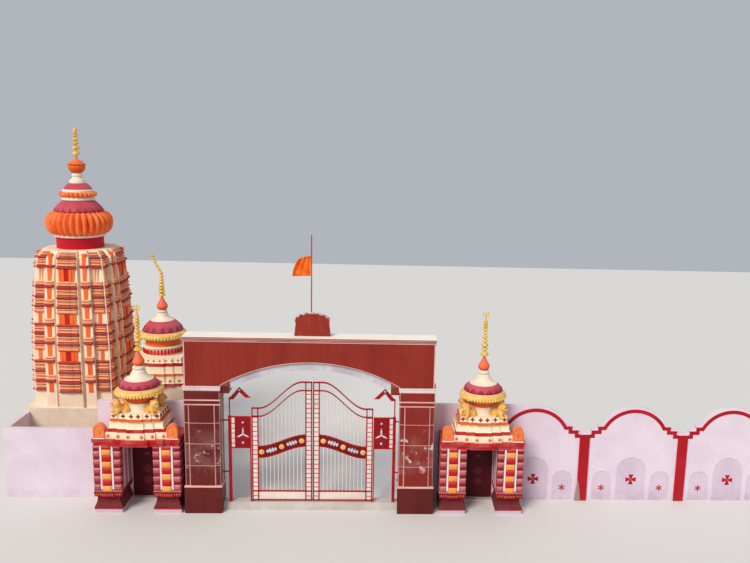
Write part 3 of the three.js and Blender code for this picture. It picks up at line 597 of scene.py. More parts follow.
inner, outer = LEAF_IN + LADDER_W, LEAF_OUT - LADDER_W
band_ends = (inner - 0.02, outer + 0.02)
for name, side in SIDES:
    leaf = f"{name}_leaf"
    frame_mesh, infill = bmesh.new(), bmesh.new()
    ladder(frame_mesh, infill, side, LEAF_IN, LEAF_BOTTOM, top_rail(LEAF_IN) - 0.01)
    ladder(frame_mesh, infill, side, outer, LEAF_BOTTOM, top_rail(LEAF_OUT) - 0.01)
    for z in (LEAF_BOTTOM, MIDDLE_RAIL_Z):
        upright(frame_mesh, side, LEAF_IN, LEAF_OUT, z, z + 0.055)
    waved(frame_mesh, side, top_rail, 0.06, LEAF_IN, LEAF_OUT)
    waved(frame_mesh, side, lambda u: top_rail(u) - 0.335, 0.05, LEAF_IN + 0.004, LEAF_OUT - 0.004)
    for drop in (0.0, BAND_H):
        waved(frame_mesh, side, lambda u: band_rail(u) - drop, 0.05, *band_ends, FRAME_HALF + 0.004)
    frame_piece = piece(f"gate_{leaf}_frame", frame_mesh, [gate_red], leaf, edge=0.006)
    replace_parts(frame_piece, f"gate_leaf_{name}")
    piece(f"gate_{leaf}_ladder_sheets", infill, [bar_cream], leaf, edge=0.002)

    bars = bmesh.new()
    for u in spread(inner, outer, BARS + 1)[1:-1]:
        x = GATE_X + side * u
        rod(bars, x, GATE_Y, MIDDLE_RAIL_Z + 0.05, band_rail(u) - 0.46, BAR_R)
        rod(bars, x, GATE_Y, band_rail(u) - 0.02, top_rail(u) - 0.37, BAR_R)
    piece(f"gate_{leaf}_bars", bars, [bar_cream], leaf, smooth=50)

    band = bmesh.new()
    waved(band, side, lambda u: band_rail(u) - 0.04, 0.42, *band_ends, 0.012)
    piece(f"gate_{leaf}_band", band, [band_red], leaf)
    trim = bmesh.new()
    for spot, u in enumerate(BAND_TRIM):
        z = band_rail(u) - 0.25
        slope = math.atan2((band_rail(u + 0.05) - band_rail(u - 0.05)) * side, 0.1)
        x = GATE_X + side * u
        if spot % 2 == 0:
            stud(trim, x, BAND_FRONT, z, 0.105, 0.03)
            stud(trim, x, GATE_Y - 0.035, z, 0.055, 0.018)
            continue
        for reach, size in ((-0.16, 0.17), (-0.055, 0.22), (0.055, 0.22), (0.16, 0.17)):
            px, pz = x + reach * math.cos(slope), z + reach * math.sin(slope)
            petal(trim, px, BAND_FRONT, pz, size, 0.095, slope + math.pi / 2, 0.024, 1)
            petal(trim, px, BAND_FRONT - 0.002, pz, size * 0.8, 0.08, slope, 0.03, 1)
    piece(f"gate_{leaf}_band_flowers", trim, [brass_disc, silver_petal], leaf, smooth=35)

    kick = bmesh.new()
    upright(kick, side, *band_ends, LEAF_BOTTOM + 0.05, MIDDLE_RAIL_Z + 0.005, SHEET_HALF)
    panel_middle = (inner + outer) / 2
    for u0, u1 in ((inner + 0.06, panel_middle - 0.03), (panel_middle + 0.03, outer - 0.06)):
        upright(kick, side, u0, u1, 0.43, 0.66, 0.015)
    piece(f"gate_{leaf}_kick_panel", kick, [kick_cream], leaf, edge=0.005)


# Wicket frames: fixed posts and a ladder beside each leaf, tied to the pier by lugs, with a red
# sheet panel over the side opening and a chevron above. The knobs are where the bolts are capped.
WICKET_IN, WICKET_OUT, SILL_TOP = 2.362, 3.23, 0.29
PANEL_Z, CHEVRON_U = (2.53, 3.75), 2.79
for name, side in SIDES:
    wicket, infill, panel, mark = bmesh.new(), bmesh.new(), bmesh.new(), bmesh.new()
    upright(wicket, side, WICKET_OUT - 0.12, WICKET_OUT, SILL_TOP, 3.81, FRAME_HALF + 0.005)
    upright(wicket, side, WICKET_OUT - 0.08, WICKET_OUT - 0.035, 3.80, 4.55, 0.02)
    upright(wicket, side, WICKET_OUT - 0.29, WICKET_OUT - 0.245, 2.48, 3.79)
    upright(wicket, side, WICKET_IN, WICKET_IN + TUBE, SILL_TOP, 3.79)
    for z in (2.49, 3.74):
        upright(wicket, side, WICKET_IN + 0.01, WICKET_OUT - 0.02, z, z + 0.05, 0.024)
    for z in (1.50, 3.60):
        upright(wicket, side, WICKET_OUT - 0.02, PIER_IN - side * GATE_X, z, z + 0.05, 0.02)
    upright(wicket, side, LEAF_OUT - 0.05, WICKET_IN + 0.01, SILL_TOP, LEAF_BOTTOM - 0.0003, 0.02)
    for z in (2.70, 2.90, 3.10, 3.30, 3.50):
        upright(wicket, side, WICKET_OUT - 0.26, WICKET_OUT - 0.10, z - 0.014, z + 0.014, RUNG_HALF)
    chevron = ((WICKET_OUT - 0.21, 4.46), (WICKET_OUT - 0.01, 4.46), (CHEVRON_U, 4.96), (2.36, 4.53),
               (2.56, 4.53), (CHEVRON_U, 4.75))
    prism(wicket, [(GATE_X + side * u, z) for u, z in chevron], GATE_Y - 0.016, GATE_Y + 0.016)
    for z in (2.78, 3.68):
        stud(wicket, GATE_X + side * (WICKET_OUT - 0.06), GATE_Y - FRAME_HALF - 0.005, z, 0.05, 0.05)
    frame_piece = piece(f"wicket_{name}_posts", wicket, [gate_red], edge=0.006)
    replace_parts(frame_piece, f"wicket_frame_{name}")
    upright(infill, side, WICKET_OUT - 0.25, WICKET_OUT - 0.11, *PANEL_Z, SHEET_HALF)
    piece(f"wicket_{name}_ladder_sheets", infill, [bar_cream], edge=0.002)
    upright(panel, side, WICKET_IN + 0.03, WICKET_OUT - 0.28, *PANEL_Z, 0.012)
    upright(panel, side, WICKET_IN + 0.10, WICKET_OUT - 0.35, 2.62, 3.66, 0.018)
    piece(f"wicket_{name}_panel", panel, [panel_red], edge=0.006)
    middle = GATE_X + side * (WICKET_IN + WICKET_OUT - 0.25) / 2
    for degrees, length in ((90, 0.36), (-28, 0.30), (208, 0.30)):
        spray(mark, middle, GATE_Y - 0.018, 3.06, 0.13, [math.radians(degrees)], length, 0.07, 0.02)
    for z in (2.72, 3.54):
        stud(mark, middle, GATE_Y - 0.018, z, 0.045, 0.03)
    stud(mark, GATE_X + side * CHEVRON_U, GATE_Y - 0.016, 4.85, 0.05, 0.035)
    piece(f"wicket_{name}_mark", mark, [silver_petal], smooth=35)


# Gate shrines: porches of rendered brick built against the boundary wall. Their piers stand on
# flared feet over a lilac plinth, and are banded in bulging courses with a blocked middle column.
SHRINES = (("shrine_right", 6.66), ("shrine_left", -6.57))
PORCH_Y, WALL_Y = STREET_Y, 0.904
LINTEL_Z, CORNICE_TOP, PLATFORM_TOP = 2.71, 2.99, 3.98

LILAC, FOOT_RED, DARK_RED = (214, 184, 206), (98, 10, 22), (118, 10, 28)
pier_paint = banded("pier_paint", (
    (LILAC, 0.158), (FOOT_RED, 0.655), (DARK_RED, 0.862), ((194, 124, 144), 9.0)), 0.8, (110, 80, 84))
# The pink courses and the gold blocks get a stronger painted highlight on their tops.
course_pink = weathered("course_pink", (194, 96, 102), (174, 76, 86), 0.75, (110, 60, 60), 0.3, top_highlight=0.3)
course_maroon = weathered("course_maroon", (138, 6, 36), (154, 20, 50), 0.7, (80, 40, 40), 0.2)
block_red = weathered("block_red", (192, 6, 20), (206, 26, 36), 0.65, (110, 50, 40), 0.2)
block_gold = weathered("block_gold", (236, 150, 62), (246, 178, 92), 0.65, (150, 100, 60), 0.25,
                       top_highlight=0.25)
strip_white = weathered("strip_white", (246, 236, 236), (226, 212, 214), 0.8, (150, 120, 120), 0.3)
foot_line = weathered("foot_line", (166, 14, 34), (180, 34, 50), 0.7, (120, 90, 82), 0.25, 0.3)
foot_red = weathered("foot_red", (98, 8, 18), (114, 20, 30), 0.7, (120, 90, 82), 0.3, 0.4)
lotus_gold = weathered("lotus_gold", (232, 140, 64), (244, 164, 88), 0.65, stains=0.1)
lotus_red = weathered("lotus_red", (176, 50, 34), (196, 76, 50), 0.7, stains=0.15)
antefix_relief = weathered("antefix_relief", (232, 112, 50), (250, 150, 84), 0.7, (150, 80, 50), 0.2, 0.0)
COURSE_Z, LINE_Z, COURSE_PITCH, LINE_HALF, BLOCK_H = 0.905, 1.20, 0.3375, 0.06, 0.245
CUSHION_SIDES, PIER_SIDE, SIDE_BACK = ((-0.515, -0.25), (0.25, 0.515)), 0.50, WALL_Y - 0.01


def pillow(bm, x0, x1, front, back, z0, z1, proud, slot=0):
    """A block whose front swells out like a cushion, with soft ends and corners."""
    middle, half, centre_z, tall = (x0 + x1) / 2, (x1 - x0) / 2, (z0 + z1) / 2, (z1 - z0) / 2
    shares = [math.cos(a) for a in spread(0.0, math.pi, 6)]

    def at(u, w):
        swell = math.sqrt(max(0.0, 1 - abs(u) ** 5)) * math.sqrt(max(0.0, 1 - w * w))
        return bm.verts.new((middle - half * u, front - proud * swell, centre_z + tall * w))

    grid = [[at(u, w) for w in shares] for u in shares]
    faces = [bm.faces.new((near[j], far[j], far[j + 1], near[j + 1]))
             for near, far in zip(grid, grid[1:]) for j in range(len(grid) - 1)]
    rim = [line[0] for line in grid[:-1]] + grid[-1][:-1]
    rim += [line[-1] for line in grid[:0:-1]] + grid[0][:0:-1]
    rear = [bm.verts.new((vert.co.x, back, vert.co.z)) for vert in rim]
    for i, vert in enumerate(rim):
        follow = (i + 1) % len(rim)
        faces.append(bm.faces.new((vert, rim[follow], rear[follow], rear[i])))
    faces.append(bm.faces.new(rear))
    for face in faces:
        face.material_index = slot


FOOT_LINE = ((0.524, 0.155), (0.512, 0.24), (0.47, 0.33), (0.432, 0.43), (0.408, 0.55), (0.404, 0.62),
             (0.44, 0.66))
bed_y = PORCH_Y + 0.25
line_heights = [LINE_Z + i * COURSE_PITCH for i in range(5)]
line_spans = [(z - LINE_HALF, z + LINE_HALF) for z in line_heights]
cushion_spans = list(zip([COURSE_Z] + [top for bottom, top in line_spans],
                         [bottom for bottom, top in line_spans] + [LINTEL_Z - 0.004]))
for shrine, cx in SHRINES:
    for pier in (f"{shrine}_pier_near", f"{shrine}_pier_far"):
        low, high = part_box(pier)
        middle = (low.x + high.x) / 2
        inwards = 1 if middle < cx else -1
        dress([pier], pier_paint, 0.01)
        courses = bmesh.new()
        for x0, x1 in CUSHION_SIDES:
            for z0, z1 in cushion_spans:
                left, right = middle + x0, middle + x1
                pillow(courses, left, right, PORCH_Y - 0.012, bed_y, z0 + 0.004, z1 - 0.004, 0.055)
            for z0, z1 in line_spans:
                left, right = middle + x0 * 0.985, middle + x1 * 0.985
                pillow(courses, left, right, PORCH_Y + 0.002, bed_y, z0, z1, 0.022, 1)
        for slot, out, spans in ((0, 0.026, cushion_spans), (1, 0.012, line_spans)):
            reach = PIER_SIDE + out
            for z0, z1 in spans:
                sided(courses, -inwards, PIER_SIDE, reach, bed_y - 0.05, SIDE_BACK, z0 + 0.002, z1 - 0.002,
                      slot, middle)
        piece(f"{pier}_courses", courses, [course_pink, course_maroon], smooth=50)

        column = bmesh.new()
        for step in range(8):
            z0 = COURSE_Z - 0.04 + step * BLOCK_H
            z1 = min(z0 + BLOCK_H, LINTEL_Z - 0.004)
            half, proud, slot = (0.178, 0.05, 1) if step % 2 else (0.168, 0.04, 0)
            x0, x1 = middle - half, middle + half
            pillow(column, x0, x1, PORCH_Y - 0.055, PORCH_Y, z0 + 0.004, z1 - 0.004, proud, slot)
        piece(f"{pier}_column", column, [block_gold, block_red], smooth=50)
        strips = bmesh.new()
        for x in (middle - 0.214, middle + 0.214):
            block(strips, x - 0.034, x + 0.034, PORCH_Y - 0.05, PORCH_Y + 0.01, 0.965, LINTEL_Z - 0.003)
        for y in (PORCH_Y + 0.38, PORCH_Y + 0.80):
            reach = PIER_SIDE + 0.014
            sided(strips, inwards, PIER_SIDE, reach, y, y + 0.06, COURSE_Z, LINTEL_Z - 0.003, 0, middle)
        piece(f"{pier}_strips", strips, [strip_white], edge=0.008)

        # The flared foot: a hollow-curved skirt, a ring of lotus petals and a maroon fillet
        foot = bmesh.new()
        loops = []
        for half, z in FOOT_LINE:
            front, back = PORCH_Y - 0.042 + (FOOT_LINE[0][0] - half) * 0.66, WALL_Y - 0.012
            x0, x1 = middle - half - 0.012, middle + half + 0.012
            loops.append([(x0, front, z), (x1, front, z), (x1, back, z), (x0, back, z)])
        skin(foot, loops)
        block(foot, middle - 0.53, middle + 0.53, PORCH_Y - 0.048, SIDE_BACK, 0.156, 0.20, 1)
        piece(f"{pier}_foot", foot, [foot_red, foot_line], smooth=40)
        lotus = bmesh.new()
        for half, out, back, z0, z1, slot in (
            (0.512, 0.022, SIDE_BACK, 0.66, 0.79, 2), (0.528, 0.04, SIDE_BACK, 0.79, 0.864, 2),
            (0.522, 0.034, SIDE_BACK, 0.866, 0.898, 3), (0.235, 0.075, PORCH_Y, 0.655, 0.862, 2),
        ):
            block(lotus, middle - half, middle + half, PORCH_Y - out, back, z0, z1, slot)
        for i, x in enumerate(spread(middle - 0.44, middle + 0.44, 10)):
            front = PORCH_Y - (0.073 if 2 < i < 8 else 0.02)
            petal(lotus, x, front, 0.715, 0.095, 0.08, -math.pi / 2, 0.02)
            stud(lotus, x, front - 0.008, 0.765, 0.02, 0.02, 1, 10)
        piece(f"{pier}_lotus", lotus, [lotus_red, lotus_gold, course_maroon, bead_pink], edge=0.006)


# Shrine door and sill: one flush plank leaf, dark maroon, hung in the wall behind the porch. It has
# a raised frame and two thin diamonds of pale red, one over the other.
def grained_wood(name, dark, light, roughness=0.55):
    """Painted planks: the grain runs up the leaf and shows as fine ridges."""
    wood = Finish(name, roughness)
    grain = wood.noise(9.0, 6.0, (9.0, 9.0, 0.6), 0.4)
    wood.colour(wood.mix(wood.ramp(grain, 0.35, 0.7), dark, light))
    wood.roughness(wood.ramp(grain, 0.3, 0.7, roughness - 0.1, roughness + 0.15))
    wood.bump(grain, 0.004, 0.5)
    return wood.material


door_paint = grained_wood("door_paint", (72, 10, 22), (98, 22, 34))
door_line = weathered("door_line", (188, 82, 92), (166, 62, 74), 0.6, stains=0.1, soil=0.0)
for shrine, cx in SHRINES:
    low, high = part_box(f"{shrine}_door")
    body = "right_shrine_door" if cx > 0 else "left_shrine_door"
    dress([f"{shrine}_door"], door_paint, 0.004)
    leaf_mid = (low.x + high.x) / 2
    planks = bmesh.new()
    plank_ends = spread(low.x + 0.11, high.x - 0.11, 6)
    for y0, y1 in ((low.y - 0.008, low.y + 0.002), (high.y - 0.002, high.y + 0.008)):
        for x0, x1 in zip(plank_ends, plank_ends[1:]):
            block(planks, x0 + 0.004, x1 - 0.004, y0, y1, low.z + 0.14, high.z - 0.14)
        for x0, x1 in ((low.x + 0.01, low.x + 0.10), (high.x - 0.10, high.x - 0.01)):
            block(planks, x0, x1, y0 - 0.006, y1 + 0.006, low.z + 0.01, high.z - 0.01)
        for z0, z1 in ((low.z + 0.01, low.z + 0.13), (high.z - 0.13, high.z - 0.01)):
            block(planks, low.x + 0.105, high.x - 0.105, y0 - 0.006, y1 + 0.006, z0, z1)
    piece(f"{shrine}_door_planks", planks, [door_paint], body, edge=0.004)
    diamonds = bmesh.new()
    front, face_y = low.y - 0.018, low.y - 0.006
    for z in (0.76, 1.23):
        for half, tall in ((0.20, 0.165), (0.10, 0.08)):
            ring, inner = [[(leaf_mid + wide * math.cos(a), z + high_by * math.sin(a)) for a in around(4)]
                           for wide, high_by in ((half, tall), (half - 0.02, tall - 0.017))]
            for i in range(4):
                j = (i + 1) % 4
                prism(diamonds, [ring[i], ring[j], inner[j], inner[i]], front, face_y)
    fan = spread(0.1 * math.pi, 0.9 * math.pi, 4)
    spray(diamonds, leaf_mid, face_y, 1.84, 0.055, fan, 0.10, 0.035, 0.012)
    block(diamonds, leaf_mid - 0.12, leaf_mid + 0.12, front, face_y, 1.80, 1.815)
    piece(f"{shrine}_door_diamonds", diamonds, [door_line], body)
    dress([f"{shrine}_sill"], sill_stone, 0.008)


# Cornice, antefixes and stepped roof: brick courses corbelled out in steps towards the middle and
# rendered smooth, each course picked out in its own colour.
CREAM, LINE_RED, ORANGE, SALMON = (254, 238, 206), (188, 0, 26), (226, 98, 24), (246, 128, 68)
LION_GOLD = (238, 180, 92)
cornice_paint = banded("cornice_paint", ((LINE_RED, CORNICE_TOP + 0.006), (SALMON, 9.0)), 0.6)
roof_paint = banded("roof_paint", (
    (CREAM, 3.245), (LINE_RED, 3.392), (CREAM, 3.672), (ORANGE, 3.795), (CREAM, PLATFORM_TOP + 0.012),
    (LION_GOLD, 9.0)))
rosette_gold = weathered("rosette_gold", (238, 160, 104), (244, 184, 136), 0.65, (150, 90, 60), 0.15, 0.0)
square_red = weathered("square_red", (132, 12, 34), (154, 30, 48), 0.65, stains=0.1, soil=0.0)
TIER_HALF, UPPER_HALF, ROSETTE_Z, SQUARE_Z = 1.145, 0.905, 3.11, 3.895
half_turn = spread(0.0, math.pi, 14)


def flower(bm, place, radius, facing, petals=8, slots=(0, 1)):
    """A rosette on a wall face. facing is 0 for the street side, then quarter turns to the right."""
    c, s = math.cos(facing * math.pi / 2), math.sin(facing * math.pi / 2)

    def at(share, angle, out):
        a, b = radius * share * math.cos(angle), radius * share * math.sin(angle)
        return (place[0] + a * c + out * s, place[1] + a * s - out * c, place[2] + b)

    wide = math.pi / petals * 0.86
    for angle in around(petals):
        tip, ridge, left, right, root = (
            bm.verts.new(at(share, angle + sweep, out)) for share, sweep, out in (
                (1.0, 0.0, 0.004), (0.62, 0.0, 0.03), (0.66, -wide, 0.0), (0.66, wide, 0.0),
                (0.0, 0.0, 0.012)))
        for corners in ((tip, ridge, left), (tip, right, ridge), (left, ridge, root), (right, root, ridge),
                        (left, root, right), (left, right, tip)):
            bm.faces.new(corners).material_index = slots[0]
    skin(bm, [[at(share, angle, out) for angle in around(8)]
              for share, out in ((0.26, 0.005), (0.24, 0.03), (0.12, 0.042))], slots[1])


def stepped_front(half, front, step, u):
    """Y of a stepped course's front face at a distance u from its middle."""
    if abs(u) < half * 0.3:
        return front - 2 * step
    if abs(u) < half * 0.64:
        return front - step
    return front


for shrine, cx in SHRINES:
    dress([f"{shrine}_cornice"], cornice_paint, 0.012)
    dress([f"{shrine}_roof"], roof_paint, 0.014)
    flowers, squares = bmesh.new(), bmesh.new()
    for u in (-1.04, -0.64, -0.25, 0.25, 0.64, 1.04):
        flower(flowers, (cx + u, stepped_front(TIER_HALF, PORCH_Y + 0.01, 0.07, u), ROSETTE_Z), 0.095, 0)
    for y in (PORCH_Y + 0.2, PORCH_Y + 0.62, PORCH_Y + 1.04):
        for facing, x in ((1, cx + TIER_HALF), (3, cx - TIER_HALF)):
            flower(flowers, (x, y, ROSETTE_Z), 0.085, facing)
    piece(f"{shrine}_roof_rosettes", flowers, [rosette_gold, block_red])
    for u in (-0.81, -0.44, -0.13, 0.13, 0.44, 0.81):
        y = stepped_front(UPPER_HALF, PORCH_Y + 0.05, 0.05, u)
        flower(squares, (cx + u, y, SQUARE_Z), 0.095, 0, 4, (0, 0))
    for y in (PORCH_Y + 0.2, PORCH_Y + 0.5, PORCH_Y + 0.8, PORCH_Y + 1.1):
        for facing, x in ((1, cx + UPPER_HALF), (3, cx - UPPER_HALF)):
            flower(squares, (x, y, SQUARE_Z), 0.095, facing, 4, (0, 0))
    piece(f"{shrine}_roof_squares", squares, [square_red])
    relief = bmesh.new()
    front, back = PORCH_Y - 0.03, PORCH_Y - 0.025
    for ax in (cx - 1.365, cx + 1.365):
        az, foot_z = CORNICE_TOP + 0.375, CORNICE_TOP + 0.04
        outer = [(ax + 0.2, foot_z)] + arc(ax, az, 0.2, half_turn) + [(ax - 0.2, foot_z)]
        inner = [(ax - 0.155, foot_z)] + arc(ax, az, 0.155, half_turn[::-1]) + [(ax + 0.155, foot_z)]
        prism(relief, outer + inner, front - 0.02, back)
        for degrees, size in ((90, 0.24), (50, 0.19), (130, 0.19), (20, 0.13), (160, 0.13)):
            angle = math.radians(degrees)
            x, z = ax + size * 0.42 * math.cos(angle), CORNICE_TOP + 0.27 + size * 0.45 * math.sin(angle)
            petal(relief, x, front, z, size, 0.085, angle, 0.03)
        stud(relief, ax, front, CORNICE_TOP + 0.24, 0.05, 0.035, 0, 12)
        block(relief, ax - 0.14, ax + 0.14, front - 0.022, back, CORNICE_TOP + 0.06, CORNICE_TOP + 0.12)
        base_z = CORNICE_TOP + 0.005
        block(relief, ax - 0.222, ax + 0.222, front - 0.026, back, base_z, base_z + 0.04, 1)
    piece(f"{shrine}_antefix_relief", relief, [antefix_relief, strip_white], edge=0.004)


# Lions: four on each roof, crouched at the corners of the platform under the rim of the crown. They
# are cast in cement, with a heavy mane and raised head, and painted gold.
lion_gold = Finish("lion_gold", 0.42)
lion_wear = lion_gold.ramp(lion_gold.noise(5.0, 6.0), 0.45, 0.7)
lion_gold.colour(lion_gold.mix(lion_wear, (232, 168, 78), (250, 208, 132)))
lion_gold.roughness(lion_gold.ramp(lion_wear, 0.0, 1.0, 0.34, 0.6))
lion_gold.bump(lion_gold.noise(30.0, 5.0), 0.01, 0.5)
lion_gold.shader.inputs["Coat Weight"].default_value = 0.15
# Each part is a ball: its place along, across and up the lion, then its three half-lengths
HAUNCH, BELLY = (-0.20, 0.0, 0.17, 0.15, 0.165, 0.17), (-0.03, 0.0, 0.18, 0.20, 0.175, 0.17)
CHEST, MANE = (0.08, 0.0, 0.22, 0.16, 0.18, 0.19), (0.12, 0.0, 0.38, 0.155, 0.185, 0.195)
BROW, MUZZLE = (0.20, 0.0, 0.40, 0.13, 0.14, 0.14), (0.31, 0.0, 0.35, 0.08, 0.075, 0.06)
EAR, LEG = (0.12, 0.13, 0.545, 0.035, 0.04, 0.045), (0.16, 0.13, 0.10, 0.08, 0.07, 0.13)
PAW, THIGH = (0.25, 0.14, 0.04, 0.10, 0.065, 0.05), (-0.20, 0.15, 0.12, 0.14, 0.07, 0.12)
HIND_PAW = (-0.12, 0.18, 0.035, 0.12, 0.055, 0.04)
TAIL = (-0.33, 0.05, 0.26, 0.035, 0.035, 0.14)
EYE = (0.315, 0.058, 0.425, 0.022, 0.022, 0.022)
eye_dark = Finish("lion_eye", 0.4)
eye_dark.colour(eye_dark.mix(eye_dark.noise(60.0), (40, 16, 14), (66, 30, 22)))


def lion(name, x, y, z, heading, size=1.0):
    """One crouching lion at a corner, its head turned along the heading, welded into one skin."""
    c, s = math.cos(heading), math.sin(heading)

    def ball(bm, along, across, up, rx, ry, rz):
        made = bmesh.ops.create_uvsphere(bm, u_segments=14, v_segments=9, radius=1.0)
        for vert in made["verts"]:
            px, py, pz = along + vert.co.x * rx, across + vert.co.y * ry, up + vert.co.z * rz
            vert.co = (x + size * (px * c - py * s), y + size * (px * s + py * c), z + size * pz)

    def both_sides(bm, along, across, *others):
        ball(bm, along, across, *others)
        ball(bm, along, -across, *others)

    eyes = bmesh.new()
    both_sides(eyes, *EYE)
    piece(f"{name}_eyes", eyes, [eye_dark.material], smooth=80)
    bm = bmesh.new()
    for part in (HAUNCH, BELLY, CHEST, MANE, BROW, MUZZLE):
        ball(bm, *part)
    for part in (EAR, LEG, PAW, THIGH, HIND_PAW):
        both_sides(bm, *part)
    ball(bm, *TAIL)
    made = piece(name, bm, [lion_gold.material], smooth=80)
    weld = made.modifiers.new("one_skin", "REMESH")
    weld.mode = "VOXEL"
    weld.voxel_size = 0.024
    weld.use_smooth_shade = True
    made.modifiers.new("soften", "SMOOTH").iterations = 2


for shrine, cx in SHRINES:
    for spot, across, deep, heading, size in (
        ("front_left", -0.60, 0.19, -142, 0.98), ("front_right", 0.60, 0.19, -38, 0.98),
        ("rear_left", -0.60, 1.04, 180, 0.9), ("rear_right", 0.60, 1.04, 0, 0.9),
    ):
        y, angle = PORCH_Y + deep, math.radians(heading)
        lion(f"{shrine}_lion_{spot}", cx + across, y, PLATFORM_TOP - 0.02, angle, size)


# Crowns of the gate shrines: turned in cement over brick. A neck opens into a heavy gold rim of
# drops, then come the magenta dome with a ring of petals, a cream bell, an orange bud and a
# finial of gilded rings on a rod, ending in a trident.
def curved(profile, steps=4):
    """A smooth line of (radius, height) pairs through the given ones."""
    def between(p, a, b, q, t):
        bend, twist = 2 * p - 5 * a + 4 * b - q, 3 * a - p - 3 * b + q
        return 0.5 * (2 * a + (b - p) * t + bend * t * t + twist * t**3)

    ends = [profile[0], *profile, profile[-1]]
    return [tuple(between(*values, step / steps) for values in zip(*ends[i:i + 4]))
            for i in range(len(profile) - 1) for step in range(steps)] + [profile[-1]]


def turn(bm, x, y, profile, segments=48, slot=0, lobes=0, depth=0.0):
    """A turned body from (radius, height) pairs going up. Lobes make it bulge like a pumpkin."""
    angles = around(segments)
    shares = [1 - depth * (1 - abs(math.cos(lobes * angle / 2))) for angle in angles]
    skin(bm, [[(x + radius * share * math.cos(angle), y + radius * share * math.sin(angle), z)
               for angle, share in zip(angles, shares)] for radius, z in profile], slot)


def turned(name, x, y, materials, smooth, *bodies):
    """A piece of turned bodies on one axis, each given as what turn takes after the axis."""
    bm = bmesh.new()
    for body in bodies:
        turn(bm, x, y, *body)
    return piece(name, bm, materials, smooth=smooth)


crown_cream = weathered("crown_cream", (250, 238, 216), (238, 218, 196), 0.8, (160, 130, 110), 0.3, 0.0)
crown_orange = weathered("crown_orange", (238, 92, 18), (248, 122, 42), 0.6, (150, 80, 40), 0.2, 0.0)
dome_magenta = weathered("dome_magenta", (186, 28, 64), (208, 78, 102), 0.6, (150, 50, 84), 0.3, 0.0)
petal_magenta = weathered("petal_magenta", (134, 6, 42), (154, 18, 58), 0.6, stains=0.1, soil=0.0)
collar_salmon = weathered("collar_salmon", (248, 176, 138), (252, 196, 164), 0.7, (160, 100, 80), 0.2, 0.0)
bud_red = weathered("bud_red", (238, 78, 38), (250, 118, 74), 0.55, (150, 60, 40), 0.15, 0.0)


def gilded(name, deep, light, roughness=0.38):
    """Gold paint over cement, in two tones mixed in patches and a little rubbed."""
    gilt = Finish(name, roughness)
    wear = gilt.ramp(gilt.noise(6.0, 5.0), 0.4, 0.72)
    gilt.colour(gilt.mix(wear, deep, light))
    gilt.roughness(gilt.ramp(wear, 0.0, 1.0, roughness - 0.06, roughness + 0.2))
    gilt.bump(gilt.noise(50.0, 4.0), 0.004, 0.4)
    gilt.shader.inputs["Coat Weight"].default_value = 0.2
    return gilt.material


rim_gold = gilded("rim_gold", (238, 186, 92), (250, 214, 136))
finial_gold = gilded("finial_gold", (226, 172, 64), (246, 212, 116), 0.32)


def ring_finial(bm, x, y, ring_heights, radii, foot_z, tip_z):
    """Gilded rings threaded on a rod, each a flattened ball, getting smaller towards the tip."""
    turn(bm, x, y, [(0.045, foot_z), (0.03, tip_z - 0.06), (0.004, tip_z)], 12)
    for z, radius in zip(ring_heights, radii):
        tall = radius * 0.66
        bead = curved([(0.04, z - tall * 0.8), (radius * 0.86, z - tall * 0.5), (radius, z - tall * 0.1),
                       (radius * 0.7, z + tall * 0.55), (0.04, z + tall)], 3)
        turn(bm, x, y, bead, 24)


def dome_petals(bm, x, y, radius_at, z0, z1, count, share_of_ring=0.9):
    """A ring of pointed petals lying on a dome, between two heights."""
    wide = math.pi / count * share_of_ring
    for middle in around(count):
        def at(share, out, sweep=0.0):
            z = z0 + (z1 - z0) * share
            return bm.verts.new((*arc(x, y, radius_at(z) + out, [middle + sweep])[0], z))

        edge = [at(0.0, 0.0, -wide), at(0.0, 0.03), at(0.0, 0.0, wide), at(0.55, 0.012, wide * 0.7),
                at(1.0, 0.004), at(0.55, 0.012, -wide * 0.7)]
        ridge, root = at(0.5, 0.035), at(0.5, -0.03)
        for near, far in zip(edge, edge[1:] + edge[:1]):
            bm.faces.new((near, far, ridge))
            bm.faces.new((far, near, root))


def from_point(radius, height, *steps):
    """A profile given by its steps outwards and upwards from one point."""
    return [(radius + out, height + up) for out, up in steps]


